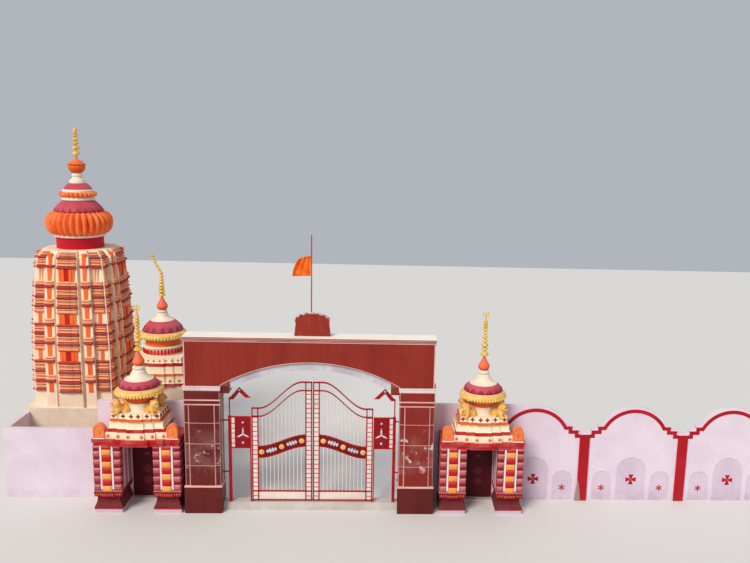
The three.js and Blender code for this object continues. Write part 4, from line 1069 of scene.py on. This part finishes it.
def crown(name, x, y, neck, rim, dome, bud_z):
    """A crown on the neck given: rim is (radius, bottom height), dome is (radius, foot, top radius,
    top height), then a cream bell up to the bud."""
    neck_piece = turned(f"{name}_neck", x, y, [crown_orange], 35, (neck, 64))
    rim_r, rim_z = rim
    foot_r, foot_z, top_r, top_z = dome
    under_r = neck[-1][0]
    turned(f"{name}_collars", x, y, [collar_salmon], 35,
           (from_point(under_r, rim_z, (-0.03, -0.07), (0.05, -0.05), (0.07, -0.015), (0.04, 0.02)), 64),
           (from_point(foot_r, foot_z, (-0.06, -0.05), (0.045, -0.035), (0.03, -0.005), (-0.06, 0.0)), 64))
    rim_line = [(under_r, rim_z)]
    rim_line += from_point(rim_r, rim_z, (-0.10, 0.015), (-0.025, 0.06), (0.0, 0.12), (-0.025, 0.18))
    rim_line += from_point(foot_r, foot_z, (0.03, -0.03), (-0.06, -0.02))
    rim_mesh = bmesh.new()
    turn(rim_mesh, x, y, curved(rim_line, 3), 96)
    drop = curved(from_point(0.0, rim_z, (0.008, -0.012), (0.04, 0.018), (0.052, 0.055), (0.035, 0.105),
                             (0.008, 0.14)), 2)
    for drop_x, drop_y in arc(x, y, rim_r - 0.018, around(46)):
        turn(rim_mesh, drop_x, drop_y, drop, 10)
    piece(f"{name}_rim", rim_mesh, [rim_gold], smooth=50)
    line_top = foot_z + 0.038
    dome_line = [(foot_r + 0.016, foot_z - 0.004), (foot_r + 0.016, line_top)] + curved([
        (foot_r + (top_r - foot_r) * a + 0.03 * math.sin(math.pi * a), line_top + (top_z - line_top) * b)
        for a, b in ((0.0, 0.0), (0.2, 0.24), (0.5, 0.56), (0.8, 0.84), (1.0, 1.0))], 4)
    dome_mesh = bmesh.new()
    turn(dome_mesh, x, y, dome_line, 64)
    for face in dome_mesh.faces:
        if face.calc_center_median().z < line_top:
            face.material_index = 1
    piece(f"{name}_dome", dome_mesh, [dome_magenta, petal_magenta], smooth=35)

    dome_tall = top_z - foot_z

    def dome_radius(z):
        share = (z - foot_z) / dome_tall
        return foot_r + (top_r - foot_r) * share + 0.02 + 0.03 * math.sin(math.pi * share)

    petals = bmesh.new()
    dome_petals(petals, x, y, dome_radius, foot_z + 0.14 * dome_tall, foot_z + 0.62 * dome_tall, 14, 0.78)
    piece(f"{name}_petals", petals, [petal_magenta])
    bell_foot = from_point(top_r, top_z, (-0.03, -0.02), (0.02, -0.012), (0.012, 0.01))
    bell_swell, bell_neck = [[(top_r * a, top_z + (bud_z - top_z) * b) for a, b in line] for line in (
        ((0.98, 0.03), (0.80, 0.12), (0.63, 0.26), (0.575, 0.35)),
        ((0.55, 0.38), (0.51, 0.40), (0.48, 0.60), (0.46, 0.65), (0.37, 0.68), (0.41, 0.73), (0.435, 0.85),
         (0.40, 0.94), (0.28, 1.0)))]
    turned(f"{name}_bell", x, y, [crown_cream], 30, (bell_foot + curved(bell_swell, 4) + bell_neck, 48))
    bud = curved(from_point(0.0, bud_z, (0.12, -0.005), (0.195, 0.045), (0.228, 0.13), (0.212, 0.20),
                            (0.15, 0.31), (0.085, 0.43), (0.05, 0.52)), 4)
    turned(f"{name}_bud", x, y, [bud_red], 60, (bud, 40, 0, 10, 0.05))
    return neck_piece


CROWN_Y = PORCH_Y + 0.68
SHRINE_DOME = (0.735, 4.905, 0.52, 5.19)
shrine_neck = [(0.44, PLATFORM_TOP + 0.25)] + curved([(0.44, 4.27), (0.47, 4.33), (0.55, 4.45), (0.60, 4.57)])
RING_HEIGHTS = (6.335, 6.538, 6.691, 6.865, 7.017, 7.173, 7.311, 7.433)
RING_RADII = (0.164, 0.118, 0.14, 0.106, 0.112, 0.10, 0.106, 0.102)
for shrine, cx in SHRINES:
    neck_piece = crown(f"{shrine}_crown", cx, CROWN_Y, shrine_neck, (0.895, 4.63), SHRINE_DOME, 5.70)
    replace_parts(neck_piece, f"{shrine}_crown")
    base_line = [(0.47, PLATFORM_TOP - 0.004), (0.47, 4.24), (0.455, 4.29), (0.40, 4.295)]
    turned(f"{shrine}_crown_base", cx, CROWN_Y, [crown_cream], 35, (base_line, 48))
    lattice = bmesh.new()
    for angle in around(14, 0.5):
        for z0, r0, z1, r1 in ((4.31, 0.468, 4.43, 0.545), (4.43, 0.545, 4.55, 0.605)):
            middle_z, middle_r = (z0 + z1) / 2, (r0 + r1) / 2
            *corners, ridge = (
                (*arc(cx, CROWN_Y, radius, [angle + sweep])[0], z) for z, radius, sweep in (
                    (z0, r0 + 0.004, 0.0), (middle_z, middle_r + 0.004, 0.11), (z1, r1 + 0.004, 0.0),
                    (middle_z, middle_r + 0.004, -0.11), (middle_z, middle_r + 0.028, 0.0)))
            peaked(lattice, corners, ridge)
    piece(f"{shrine}_crown_lattice", lattice, [bud_red])
    rings = bmesh.new()
    ring_finial(rings, cx, CROWN_Y, RING_HEIGHTS, RING_RADII, 6.10, 7.87)
    trident_foot = curved([(0.03, 7.495), (0.085, 7.515), (0.09, 7.545), (0.05, 7.66), (0.02, 7.80)])
    turn(rings, cx, CROWN_Y, trident_foot, 24)
    for prong, tip_z in ((-0.095, 8.03), (0.0, 8.055), (0.095, 8.03)):
        x = cx + prong
        spike = [(x - 0.02, 7.86), (x + 0.02, 7.86), (x + 0.024, 7.97), (x, tip_z), (x - 0.024, 7.97)]
        prism(rings, spike, CROWN_Y - 0.018, CROWN_Y + 0.018)
    cross_bar = ((-0.118, 7.855), (-0.06, 7.825), (0.06, 7.825), (0.118, 7.855), (0.118, 7.89),
                 (-0.118, 7.89))
    prism(rings, [(cx + u, z) for u, z in cross_bar], CROWN_Y - 0.022, CROWN_Y + 0.022)
    finial_piece = piece(f"{shrine}_rings", rings, [finial_gold], smooth=50)
    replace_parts(finial_piece, f"{shrine}_finial")


# Boundary wall: rendered brick, limewashed a pinkish white, in bays with an arched crown and two
# steps at each side. A red band follows the top edge, red pilasters stand between the bays, and
# shallow blind niches below carry red painted flowers.
WALL_BACK = 1.104
BAY_START, BAY_PITCH = 8.94, 4.06
CROWN_HALF, RISERS, STEP_RISE = 1.27, (1.765, 1.50), 0.17
BAND_CROWN, BAND_SADDLE, BAND_W = 3.93, 2.85, 0.15
PILASTER_HALF, PILASTER_TOP = 0.195, BAND_SADDLE + 0.01
NICHE_Y, NICHE_FOOT, NICHE_GAP = WALL_Y + 0.025, 0.02, 0.004
FLARE = ((0.02, -0.03), (0.20, -0.10), (0.225, -0.04), (0.21, 0.0), (0.225, 0.04), (0.20, 0.10), (0.02, 0.03))

limewash = weathered("limewash", (234, 219, 230), (223, 206, 220), 0.9, (180, 160, 166), 0.35, 0.3)
niche_wash = weathered("niche_wash", (223, 204, 220), (208, 190, 210), 0.9, (168, 146, 156), 0.3, 0.4)
wall_red = weathered("wall_red", (170, 4, 26), (186, 26, 44), 0.7, (140, 80, 80), 0.2, 0.3)
bare_cement = weathered("bare_cement", (166, 148, 144), (142, 124, 120), 0.95, (110, 96, 92), 0.3)
long_walls = ["wall_link_right", "wall_link_left", "wall_bay_1", "wall_bay_2", "wall_bay_3", "wall_left"]
dress(long_walls, limewash, 0.012)

band_shoulder = BAND_SADDLE + len(RISERS) * STEP_RISE
band_rise = BAND_CROWN - band_shoulder
band_radius = (CROWN_HALF**2 + band_rise**2) / (2 * band_rise)
band_centre_z = BAND_CROWN - band_radius


def band_edge(centre, inset):
    """A line of a bay's red band from left to right: its upper edge, moved inwards by the inset."""
    radius = band_radius - inset
    reach = math.sqrt(radius**2 - (band_shoulder - inset - band_centre_z) ** 2)
    steps = [(BAY_PITCH / 2 - PILASTER_HALF, BAND_SADDLE - inset)]
    for i, riser in enumerate(RISERS):
        foot = BAND_SADDLE - inset + i * STEP_RISE
        steps += [(riser - inset, foot), (riser - inset, foot + STEP_RISE)]
    crown_line = [(u, band_centre_z + math.sqrt(radius**2 - u**2)) for u in spread(reach, -reach, 32)]
    line = steps + crown_line + [(-u, z) for u, z in steps[::-1]]
    return [(centre + u, z) for u, z in line[::-1]]


for bay in range(3):
    centre = BAY_START + BAY_PITCH * bay
    outer, inner = band_edge(centre, 0.0), band_edge(centre, BAND_W)
    band = bmesh.new()
    for i in range(len(outer) - 1):
        if bay == 0 and outer[i][0] < centre - CROWN_HALF + 0.05:
            continue
        quad = [outer[i], outer[i + 1], inner[i + 1], inner[i]]
        for y0, y1 in ((WALL_Y - 0.008, WALL_Y + 0.002), (WALL_BACK - 0.002, WALL_BACK + 0.008)):
            prism(band, quad, y0, y1)
    bmesh.ops.remove_doubles(band, verts=band.verts, dist=0.0005)
    piece(f"wall_bay_{bay + 1}_band", band, [wall_red])
    pilaster = bmesh.new()
    px = centre + BAY_PITCH / 2
    for y0, y1 in ((WALL_Y - 0.068, WALL_Y - 0.055), (WALL_BACK + 0.055, WALL_BACK + 0.068)):
        block(pilaster, px - PILASTER_HALF - 0.004, px + PILASTER_HALF + 0.004, y0, y1, 0.0, PILASTER_TOP)
    for name, side in SIDES:
        for y0, y1 in ((WALL_Y - 0.066, WALL_Y - 0.001), (WALL_BACK + 0.001, WALL_BACK + 0.066)):
            inner_u, outer_u = PILASTER_HALF - 0.002, PILASTER_HALF + 0.006
            sided(pilaster, side, inner_u, outer_u, y0, y1, 0.0, PILASTER_TOP, 0, px)
    piece(f"wall_pilaster_{bay + 1}", pilaster, [wall_red], edge=0.003)

    # Blind niches: a tall one in the middle and a low one each side, each with a painted flower
    niches, marks = bmesh.new(), bmesh.new()
    for u, half, top in ((0.0, 0.605, 1.87), (-1.21, 0.40, 1.28), (1.21, 0.40, 1.28)):
        if bay == 0 and u < 0:
            continue
        nx = centre + u
        outline = [(nx + half, NICHE_FOOT)] + arc(nx, top - half, half, spread(0.0, math.pi, 20))
        outline.append((nx - half, NICHE_FOOT))
        narrower, lower = 1 - NICHE_GAP / half, 1 - NICHE_GAP / top
        outline = [(nx + (x - nx) * narrower, NICHE_FOOT + 0.002 + (z - NICHE_FOOT) * lower)
                   for x, z in outline]
        prism(niches, outline, NICHE_Y - 0.004, NICHE_Y + 0.002)
        if u:
            spray(marks, nx, NICHE_Y - 0.004, 0.54, 0.085, around(6, 0.5), 0.17, 0.055, 0.008)
            continue
        for angle in around(4):
            c, s = math.cos(angle), math.sin(angle)
            flare = [(nx + a * c - b * s, 0.905 + a * s + b * c) for a, b in FLARE]
            prism(marks, flare, NICHE_Y - 0.010, NICHE_Y - 0.003)
    piece(f"wall_bay_{bay + 1}_niches", niches, [niche_wash])
    piece(f"wall_bay_{bay + 1}_flowers", marks, [wall_red])

# A patch of bare cement at the foot of the first pilaster, where the paint was knocked off
patch = bmesh.new()
patch_line = ((10.68, 0.0), (10.93, 0.0), (10.90, 0.22), (10.87, 0.45), (10.845, 0.66), (10.80, 0.86),
              (10.76, 0.90), (10.74, 0.60), (10.70, 0.30))
prism(patch, patch_line, WALL_Y - 0.074, WALL_Y - 0.060)
piece("wall_cement_patch", patch, [bare_cement], edge=0.004)


# Tall tower: a room of plain cream walls carries a curved tower of brick and render. On each of its
# four faces a middle strip, two narrow strips and two corner piers are ribbed with courses of
# salmon, orange and maroon, and recessed red niches break the ribs.
TOWER_X, TOWER_Y = -10.20, 4.74
TOWER_PROFILE = ((3.03, 1.58), (5.0, 1.57), (7.0, 1.49), (8.5, 1.39), (9.3, 1.30), (9.56, 1.08))
NARROW_OUT, MIDDLE_OUT, RAISED_SHARE = 0.20, 0.27, 0.38
tower_cream = weathered("tower_cream", (254, 234, 208), (246, 216, 184), 0.85, (180, 138, 112), 0.35, 0.3)
room_cream = weathered("room_cream", (244, 226, 204), (230, 206, 184), 0.85, (160, 130, 112), 0.4, 0.5)
# The salmon courses and the gold lines get a stronger painted highlight on their tops.
course_salmon = weathered("course_salmon", (244, 132, 86), (250, 158, 114), 0.75, (170, 84, 60), 0.2, 0.0,
                          top_highlight=0.22)
course_orange = weathered("course_orange", (244, 96, 30), (250, 124, 58), 0.7, (160, 70, 40), 0.2, 0.0)
line_maroon = weathered("line_maroon", (172, 14, 30), (186, 34, 46), 0.7, (110, 40, 40), 0.2, 0.0)
# Gold for the rings and the thin courses; on the fat courses it also serves as a painted highlight along
# their edges.
gold_line_and_highlight = weathered("gold_line_and_highlight", (240, 154, 92), (248, 184, 126), 0.7, (170, 112, 70), 0.2, 0.0,
                      top_highlight=0.25)
dress(["tower_body"], tower_cream, 0.02)
dress(["tower_wall_front", "tower_wall_left", "tower_wall_right", "tower_wall_rear", "tower_plinth",
       "small_tower_wall_front", "small_tower_wall_left", "small_tower_wall_right", "wall_return"],
       room_cream, 0.012)


def tower_half(z):
    """Half the width of the tower's corner-to-corner square at a height."""
    for (z0, h0), (z1, h1) in zip(TOWER_PROFILE, TOWER_PROFILE[1:]):
        if z <= z1:
            return h0 + (h1 - h0) * (z - z0) / (z1 - z0)
    return TOWER_PROFILE[-1][1]


def face_point(face, u, out, z):
    """A point on one face of the tower: u runs along the face and out away from the axis."""
    c, s = math.cos(face * math.pi / 2), math.sin(face * math.pi / 2)
    return (TOWER_X + u * c + out * s, TOWER_Y + u * s - out * c, z)


def on_face(bm, face, u0, u1, out0, out1, z0, z1, slot):
    """A flat panel on one face of the tower."""
    base = ((u0, out0), (u1, out0), (u1, out1), (u0, out1))
    skin(bm, [[face_point(face, u, out, z) for u, out in base] for z in (z0, z1)], slot)


def bulge(bm, face, u0, u1, out, proud, z0, z1, slot):
    """A rounded course on one face of the tower, with softened ends and its back in the wall."""
    middle, tall = (z0 + z1) / 2, (z1 - z0) / 2
    rounded = [(proud * math.cos(a), math.sin(a)) for a in spread(-math.pi / 2, math.pi / 2, 6)]
    section = [(-0.09, -1.0)] + rounded + [(-0.09, 1.0)]
    loops = []
    for u, share in ((u0, 0.5), (u0 + 0.018, 1.0), (u1 - 0.018, 1.0), (u1, 0.5)):
        stretch = tall * (0.7 + 0.3 * share)
        loops.append([face_point(face, u, out + push * (share if push > 0 else 1), middle + stretch * rise)
                      for push, rise in section])
    skin(bm, loops, slot)


# Heights of the maroon lines, the fat courses, the caps and the niches up a face, and of the lines,
# gold rings and orange bars on the narrow strips
LINES = (3.745, 4.13, 4.56, 4.99, 5.74, 6.16, 6.54, 7.293, 7.69, 8.10, 8.91, 9.305)
ROOMS = ((3.79, 4.085), (4.175, 4.515), (4.605, 4.945), (5.785, 6.115), (6.205, 6.495), (7.338, 7.645),
         (7.735, 8.055), (8.955, 9.26), (9.36, 9.53))
CAPS = ((5.46, 5.69), (7.02, 7.25), (8.15, 8.33))
NICHES = ((5.045, 5.45), (6.585, 7.01), (8.345, 8.865))
NARROW_LINES = (4.18, 5.02, 5.808, 6.58, 7.374, 8.141, 8.969)
NARROW_RINGS = (4.397, 5.186, 5.996, 6.781, 7.567, 8.325)
NARROW_BARS = ((3.696, 4.13), (4.44, 4.975), (5.23, 5.765), (6.04, 6.535), (6.825, 7.33), (7.61, 8.095),
               (8.37, 8.925), (9.01, 9.482))
SALMON_SLOT, ORANGE_SLOT, MAROON_SLOT, GOLD_AND_HIGHLIGHT_SLOT, NICHE_SLOT = 0, 1, 2, 3, 5
# The parts of a fat course as shares of its height, with how far each stands out
# The gold parts of the fat courses and caps are gold paint that also stands in for the highlight lines along
# the course edges, a painted highlight.
TWO_CUSHIONS = ((0.0, 0.40, 0.10, SALMON_SLOT), (0.41, 0.74, 0.085, SALMON_SLOT),
                (0.75, 1.0, 0.06, GOLD_AND_HIGHLIGHT_SLOT))
EDGED_CUSHIONS = ((0.0, 0.14, 0.05, GOLD_AND_HIGHLIGHT_SLOT), (0.15, 0.48, 0.10, SALMON_SLOT),
                  (0.49, 0.60, 0.055, GOLD_AND_HIGHLIGHT_SLOT), (0.61, 0.88, 0.085, SALMON_SLOT),
                  (0.89, 1.0, 0.05, GOLD_AND_HIGHLIGHT_SLOT))
CAP_PARTS = ((0.0, 0.66, 0.10, SALMON_SLOT), (0.67, 1.0, 0.07, GOLD_AND_HIGHLIGHT_SLOT))

niche_red = weathered("niche_red", (186, 10, 20), (206, 36, 34), 0.7, stains=0.1, soil=0.0)
tower_finishes = [course_salmon, course_orange, line_maroon, gold_line_and_highlight, tower_cream, niche_red]


def ribbed(bm, face, share0, share1, extra, raised):
    """The courses on one strip, from share0 to share1 of the half width, standing out by extra. A
    raised strip has a prouder middle and a red slot in each niche."""
    def strip(z0, z1):
        half = tower_half((z0 + z1) / 2)
        return (share0 + share1) / 2 * half, (share1 - share0) / 2 * half, half + extra

    def course(z0, z1, proud, slot, spill=0.012):
        middle, wide, out = strip(z0, z1)
        wide += spill
        bulge(bm, face, middle - wide, middle + wide, out, proud, z0, z1, slot)
        if raised:
            wide *= RAISED_SHARE
            bulge(bm, face, middle - wide, middle + wide, out, proud + 0.02, z0, z1, slot)

    def panel(z0, z1, start, end, proud, slot):
        middle, wide, out = strip(z0, z1)
        on_face(bm, face, middle + start * wide, middle + end * wide, out - 0.1, out + proud, z0, z1, slot)

    for z in LINES:
        course(z - 0.044, z + 0.044, 0.115, MAROON_SLOT, 0.028)
    for room, (z0, z1) in enumerate(ROOMS):
        for low, high, proud, slot in TWO_CUSHIONS if room % 3 == 1 else EDGED_CUSHIONS:
            course(z0 + low * (z1 - z0), z0 + high * (z1 - z0), proud, slot)
    for z0, z1 in CAPS:
        for low, high, proud, slot in CAP_PARTS:
            course(z0 + low * (z1 - z0), z0 + high * (z1 - z0), proud, slot)
    for niche, (z0, z1) in enumerate(NICHES):
        if raised:
            panel(z0 + 0.01, z1 - 0.01, -0.24, 0.24, 0.026, NICHE_SLOT)
            for start, end, proud in ((-0.86, 0.86, 0.02), (-0.56, -0.25, 0.045), (-0.84, -0.60, 0.035),
                                      (0.25, 0.56, 0.045), (0.60, 0.84, 0.035)):
                panel(z0, z1, start, end, proud, ORANGE_SLOT)
        elif niche == 2:
            for start, end in ((-0.42, -0.20), (0.12, 0.34)):
                panel(z0, z1, start, end, 0.03, SALMON_SLOT)
        else:
            panel(z0, z1, -0.30, 0.30, 0.035, ORANGE_SLOT)


for face, face_name in enumerate(("street", "right", "rear", "left")):
    courses = bmesh.new()
    ribbed(courses, face, -0.27, 0.27, MIDDLE_OUT, True)
    for name, side in SIDES:
        ribbed(courses, face, *sorted((side * 0.665, side * 0.95)), 0.0, False)

        def across(z0, z1, spill, part=1.0):
            half = tower_half((z0 + z1) / 2)
            middle, wide = side * 0.51 * half, 0.11 * half * part + spill
            return middle - wide, middle + wide, half + NARROW_OUT

        for z in NARROW_LINES:
            u0, u1, out = across(z - 0.04, z + 0.04, 0.028)
            bulge(courses, face, u0, u1, out, 0.12, z - 0.058, z + 0.05, MAROON_SLOT)
            if z < NARROW_LINES[-1]:
                bulge(courses, face, u0 + 0.01, u1 - 0.01, out, 0.095, z + 0.045, z + 0.105, SALMON_SLOT)
        for z in NARROW_RINGS:
            bulge(courses, face, *across(z - 0.05, z + 0.05, 0.018), 0.085, z - 0.045, z + 0.045, GOLD_AND_HIGHLIGHT_SLOT)
        for z0, z1 in NARROW_BARS:
            u0, u1, out = across(z0, z1, 0.0, 0.5)
            on_face(courses, face, u0, u1, out - 0.1, out + 0.03, z0, z1, ORANGE_SLOT)
    piece(f"tower_courses_{face_name}", courses, tower_finishes, smooth=40)

# Crown of the tall tower: a crimson neck, the great ribbed cushion, a magenta dome with petals, a
# ribbed orange ring, a magenta cap, a cream neck, the pot and its gilded rings.
neck_crimson = weathered("neck_crimson", (186, 6, 26), (198, 24, 44), 0.6, (130, 40, 50), 0.15, 0.0)
cushion = Finish("cushion_orange", 0.5)
cushion.colour(cushion.mix(cushion.ramp(cushion.noise(1.4, 4.0), 0.35, 0.7), (243, 96, 34), (252, 144, 84)))
cushion.bump(cushion.noise(40.0, 4.0), 0.006)
neck_piece = turned(
    "tower_neck_drum", TOWER_X, TOWER_Y, [neck_crimson, crown_cream], 35,
    ([(0.935, 9.55), (0.935, 10.035)], 64),
    ([(0.95, 10.03), (1.01, 10.045), (1.02, 10.08), (1.0, 10.13), (0.95, 10.14)], 64, 1))
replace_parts(neck_piece, "tower_neck")
great_line = curved([(0.96, 10.12), (1.12, 10.18), (1.27, 10.34), (1.335, 10.60), (1.30, 10.82),
                     (1.17, 11.00), (0.96, 11.10)], 5)
great_body = (great_line, 300, 0, 30, 0.13)
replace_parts(turned("tower_cushion", TOWER_X, TOWER_Y, [cushion.material], 50, great_body), "tower_amalaka")
dome_line = curved([(0.94, 11.085), (0.97, 11.12), (0.945, 11.19), (0.845, 11.33), (0.715, 11.46),
                    (0.60, 11.555)], 4)
cap_line = curved([(0.57, 11.995), (0.54, 12.05), (0.455, 12.15), (0.37, 12.235), (0.32, 12.255)], 4)
dome_piece = turned(
    "tower_dome_and_cap", TOWER_X, TOWER_Y, [dome_magenta, crown_cream], 32,
    (dome_line, 64),
    ([(0.57, 11.545), (0.645, 11.558), (0.655, 11.60), (0.62, 11.655), (0.585, 11.69), (0.57, 11.70)], 64,
     1),
    ([(0.57, 11.88), (0.61, 11.90), (0.61, 11.965), (0.585, 12.0), (0.56, 12.005)], 64, 1),
    (cap_line, 48),
    ([(0.31, 12.24), (0.305, 12.35), (0.28, 12.40), (0.215, 12.425), (0.185, 12.50), (0.21, 12.545),
      (0.216, 12.585), (0.185, 12.62), (0.18, 12.67)], 48, 1))
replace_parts(dome_piece, "tower_crown")
small_line = curved([(0.57, 11.68), (0.685, 11.70), (0.74, 11.76), (0.74, 11.83), (0.685, 11.89),
                     (0.57, 11.905)], 4)
turned("tower_small_cushion", TOWER_X, TOWER_Y, [cushion.material], 50, (small_line, 192, 0, 24, 0.12))


def tower_dome_radius(z):
    return 0.975 - 0.73 * (z - 11.12)


tower_petals = bmesh.new()
dome_petals(tower_petals, TOWER_X, TOWER_Y, tower_dome_radius, 11.13, 11.34, 20)
piece("tower_petals", tower_petals, [petal_magenta])
pot_line = curved([(0.16, 12.655), (0.22, 12.69), (0.31, 12.81), (0.34, 12.92), (0.325, 12.955),
                   (0.335, 12.99), (0.37, 13.045), (0.29, 13.085), (0.24, 13.14), (0.135, 13.205),
                   (0.06, 13.24)], 4)
pot_piece = turned("tower_pot", TOWER_X, TOWER_Y, [crown_orange], 60, (pot_line, 60, 0, 12, 0.06))
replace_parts(pot_piece, "tower_finial")
rings = bmesh.new()
ring_finial(rings, TOWER_X, TOWER_Y, (13.30, 13.47, 13.71, 13.90, 14.07, 14.21, 14.335),
            (0.07, 0.171, 0.15, 0.135, 0.12, 0.11, 0.10), 13.18, 14.565)
tip_line = curved([(0.04, 14.385), (0.085, 14.40), (0.09, 14.43), (0.04, 14.52), (0.012, 14.565)])
turn(rings, TOWER_X, TOWER_Y, tip_line, 24)
piece("tower_rings", rings, [finial_gold], smooth=50)


# Small tower: a plain cream room with stepped courses above it, a red arcaded drum and a crown like
# those of the gate shrines. Its finial has been knocked over to the left above the rings.
SMALL_X, SMALL_Y = -6.51, 3.47
small_paint = banded("small_tower_paint", (
    (CREAM, 4.185), (LINE_RED, 4.325), (CREAM, 4.633), (ORANGE, 4.738), (CREAM, 5.023), (LINE_RED, 5.165),
    (CREAM, 9.0)))
dress(["small_tower_tiers"], small_paint, 0.014)
flowers = bmesh.new()
for half, step, z, count, size in ((1.06, 0.06, 4.42, 6, 0.085), (0.95, 0.05, 5.25, 8, 0.06)):
    for i in range(count):
        u = half * (2 * (i + 0.5) / count - 1)
        street_y = stepped_front(half, SMALL_Y - half, step, u)
        for facing, (x, y) in enumerate(((SMALL_X + u, street_y), (SMALL_X + half, SMALL_Y + u),
                                         (SMALL_X - u, SMALL_Y + half), (SMALL_X - half, SMALL_Y + u))):
            flower(flowers, (x, y, z), size, facing)
piece("small_tower_rosettes", flowers, [rosette_gold, block_red])
drum = bmesh.new()
turn(drum, SMALL_X, SMALL_Y, [(0.80, 5.355), (0.80, 5.66)], 64)
turn(drum, SMALL_X, SMALL_Y, [(0.78, 5.655), (0.835, 5.665), (0.845, 5.70), (0.80, 5.738), (0.66, 5.74)], 64)
arch_line = ((-0.052, 0.0), (0.052, 0.0), (0.052, 0.14), (0.038, 0.185), (0.0, 0.215), (-0.038, 0.185),
             (-0.052, 0.14))
for angle in around(36):
    c, s = math.cos(angle), math.sin(angle)
    skin(drum, [[(SMALL_X + reach * c - a * s, SMALL_Y + reach * s + a * c, 5.425 + b) for a, b in arch_line]
                for reach in (0.828, 0.78)], 1)
piece("small_tower_drum", drum, [crown_cream, niche_red], smooth=30)
neck_line = [(0.69, 5.72)] + curved([(0.69, 5.735), (0.695, 5.80), (0.725, 5.92), (0.77, 6.04)], 3)
small_dome = (0.80, 6.325, 0.46, 6.76)
neck_piece = crown("small_tower_crown", SMALL_X, SMALL_Y, neck_line, (0.965, 6.06), small_dome, 7.18)
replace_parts(neck_piece, "small_tower_crown")
BEND_Z, TIP_Z, BEND_X, STEM_R = 8.72, 9.51, -0.42, 0.045
rings = bmesh.new()
ring_finial(rings, SMALL_X, SMALL_Y, (7.80, 7.95, 8.09, 8.22, 8.35, 8.47, 8.59),
            (0.14, 0.132, 0.124, 0.116, 0.108, 0.10, 0.094), 7.55, BEND_Z + 0.03)


def bent_x(z):
    """Where the bent finial's rod is at a height."""
    return SMALL_X + BEND_X * max(0.0, (z - BEND_Z) / (TIP_Z - BEND_Z))


for z, radius in ((8.72, 0.066), (8.86, 0.058), (9.02, 0.062), (9.18, 0.056), (9.32, 0.06), (9.42, 0.075)):
    ring = curved([(0.03, z - 0.06), (radius, z - 0.02), (radius, z + 0.02), (0.03, z + 0.06)], 3)
    turn(rings, bent_x(z), SMALL_Y, ring, 20)
skin(rings, [[(px, py, z) for px, py in arc(bent_x(z), SMALL_Y, STEM_R, around(12))]
             for z in spread(BEND_Z - 0.05, TIP_Z, 14)])
finial_piece = piece("small_tower_rings", rings, [finial_gold], smooth=50)
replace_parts(finial_piece, "small_tower_finial")


# Studio: pale floor, soft lights and the camera
floor_paint = bpy.data.materials.new("studio_floor")
floor_paint.use_nodes = True
floor_shader = floor_paint.node_tree.nodes["Principled BSDF"]
floor_shader.inputs["Base Color"].default_value = (0.74, 0.73, 0.71, 1)
floor_shader.inputs["Roughness"].default_value = 0.9
floor_mesh = bmesh.new()
block(floor_mesh, -60, 60, -45, 60, -0.05, 0.0)
floor = bpy.data.objects.new("studio_floor", bpy.data.meshes.new("studio_floor"))
floor_mesh.to_mesh(floor.data)
floor_mesh.free()
floor.data.materials.append(floor_paint)
bpy.context.collection.objects.link(floor)

world = bpy.data.worlds.new("soft_sky")
world.use_nodes = True
world.node_tree.nodes["Background"].inputs["Color"].default_value = (0.80, 0.84, 0.92, 1)
world.node_tree.nodes["Background"].inputs["Strength"].default_value = 0.55
bpy.context.scene.world = world
bpy.context.scene.view_settings.view_transform = "Standard"

sun = bpy.data.objects.new("key_light", bpy.data.lights.new("key_light", "SUN"))
sun.data.energy = 2.4
sun.data.angle = math.radians(24)
sun.data.color = (1.0, 0.94, 0.86)
sun.rotation_euler = (math.radians(48), 0, math.radians(-32))
bpy.context.collection.objects.link(sun)

# The camera stands above the far side of the street and looks slightly down and to the right
CAMERA_AT = Vector((2.887, -29.4294, 14.6048))
YAW, PITCH, ROLL = math.radians(2.9509), math.radians(10.3784), math.radians(1.6133)
forward = Vector((math.sin(YAW) * math.cos(PITCH), math.cos(YAW) * math.cos(PITCH), -math.sin(PITCH)))
level = forward.cross(Vector((0, 0, 1))).normalized()
upward = level.cross(forward)
image_right = level * math.cos(ROLL) + upward * math.sin(ROLL)
image_up = upward * math.cos(ROLL) - level * math.sin(ROLL)
camera = bpy.data.objects.new("camera", bpy.data.cameras.new("camera"))
camera.data.sensor_width = 36.0
camera.data.lens = 38.189
camera.data.shift_x = -0.07187
camera.data.clip_end = 500.0
axes = (image_right, image_up, -forward)
camera.matrix_world = Matrix([[axis[row] for axis in axes] + [CAMERA_AT[row]] for row in range(3)]
                             + [[0, 0, 0, 1]])
bpy.context.collection.objects.link(camera)
bpy.context.scene.camera = camera
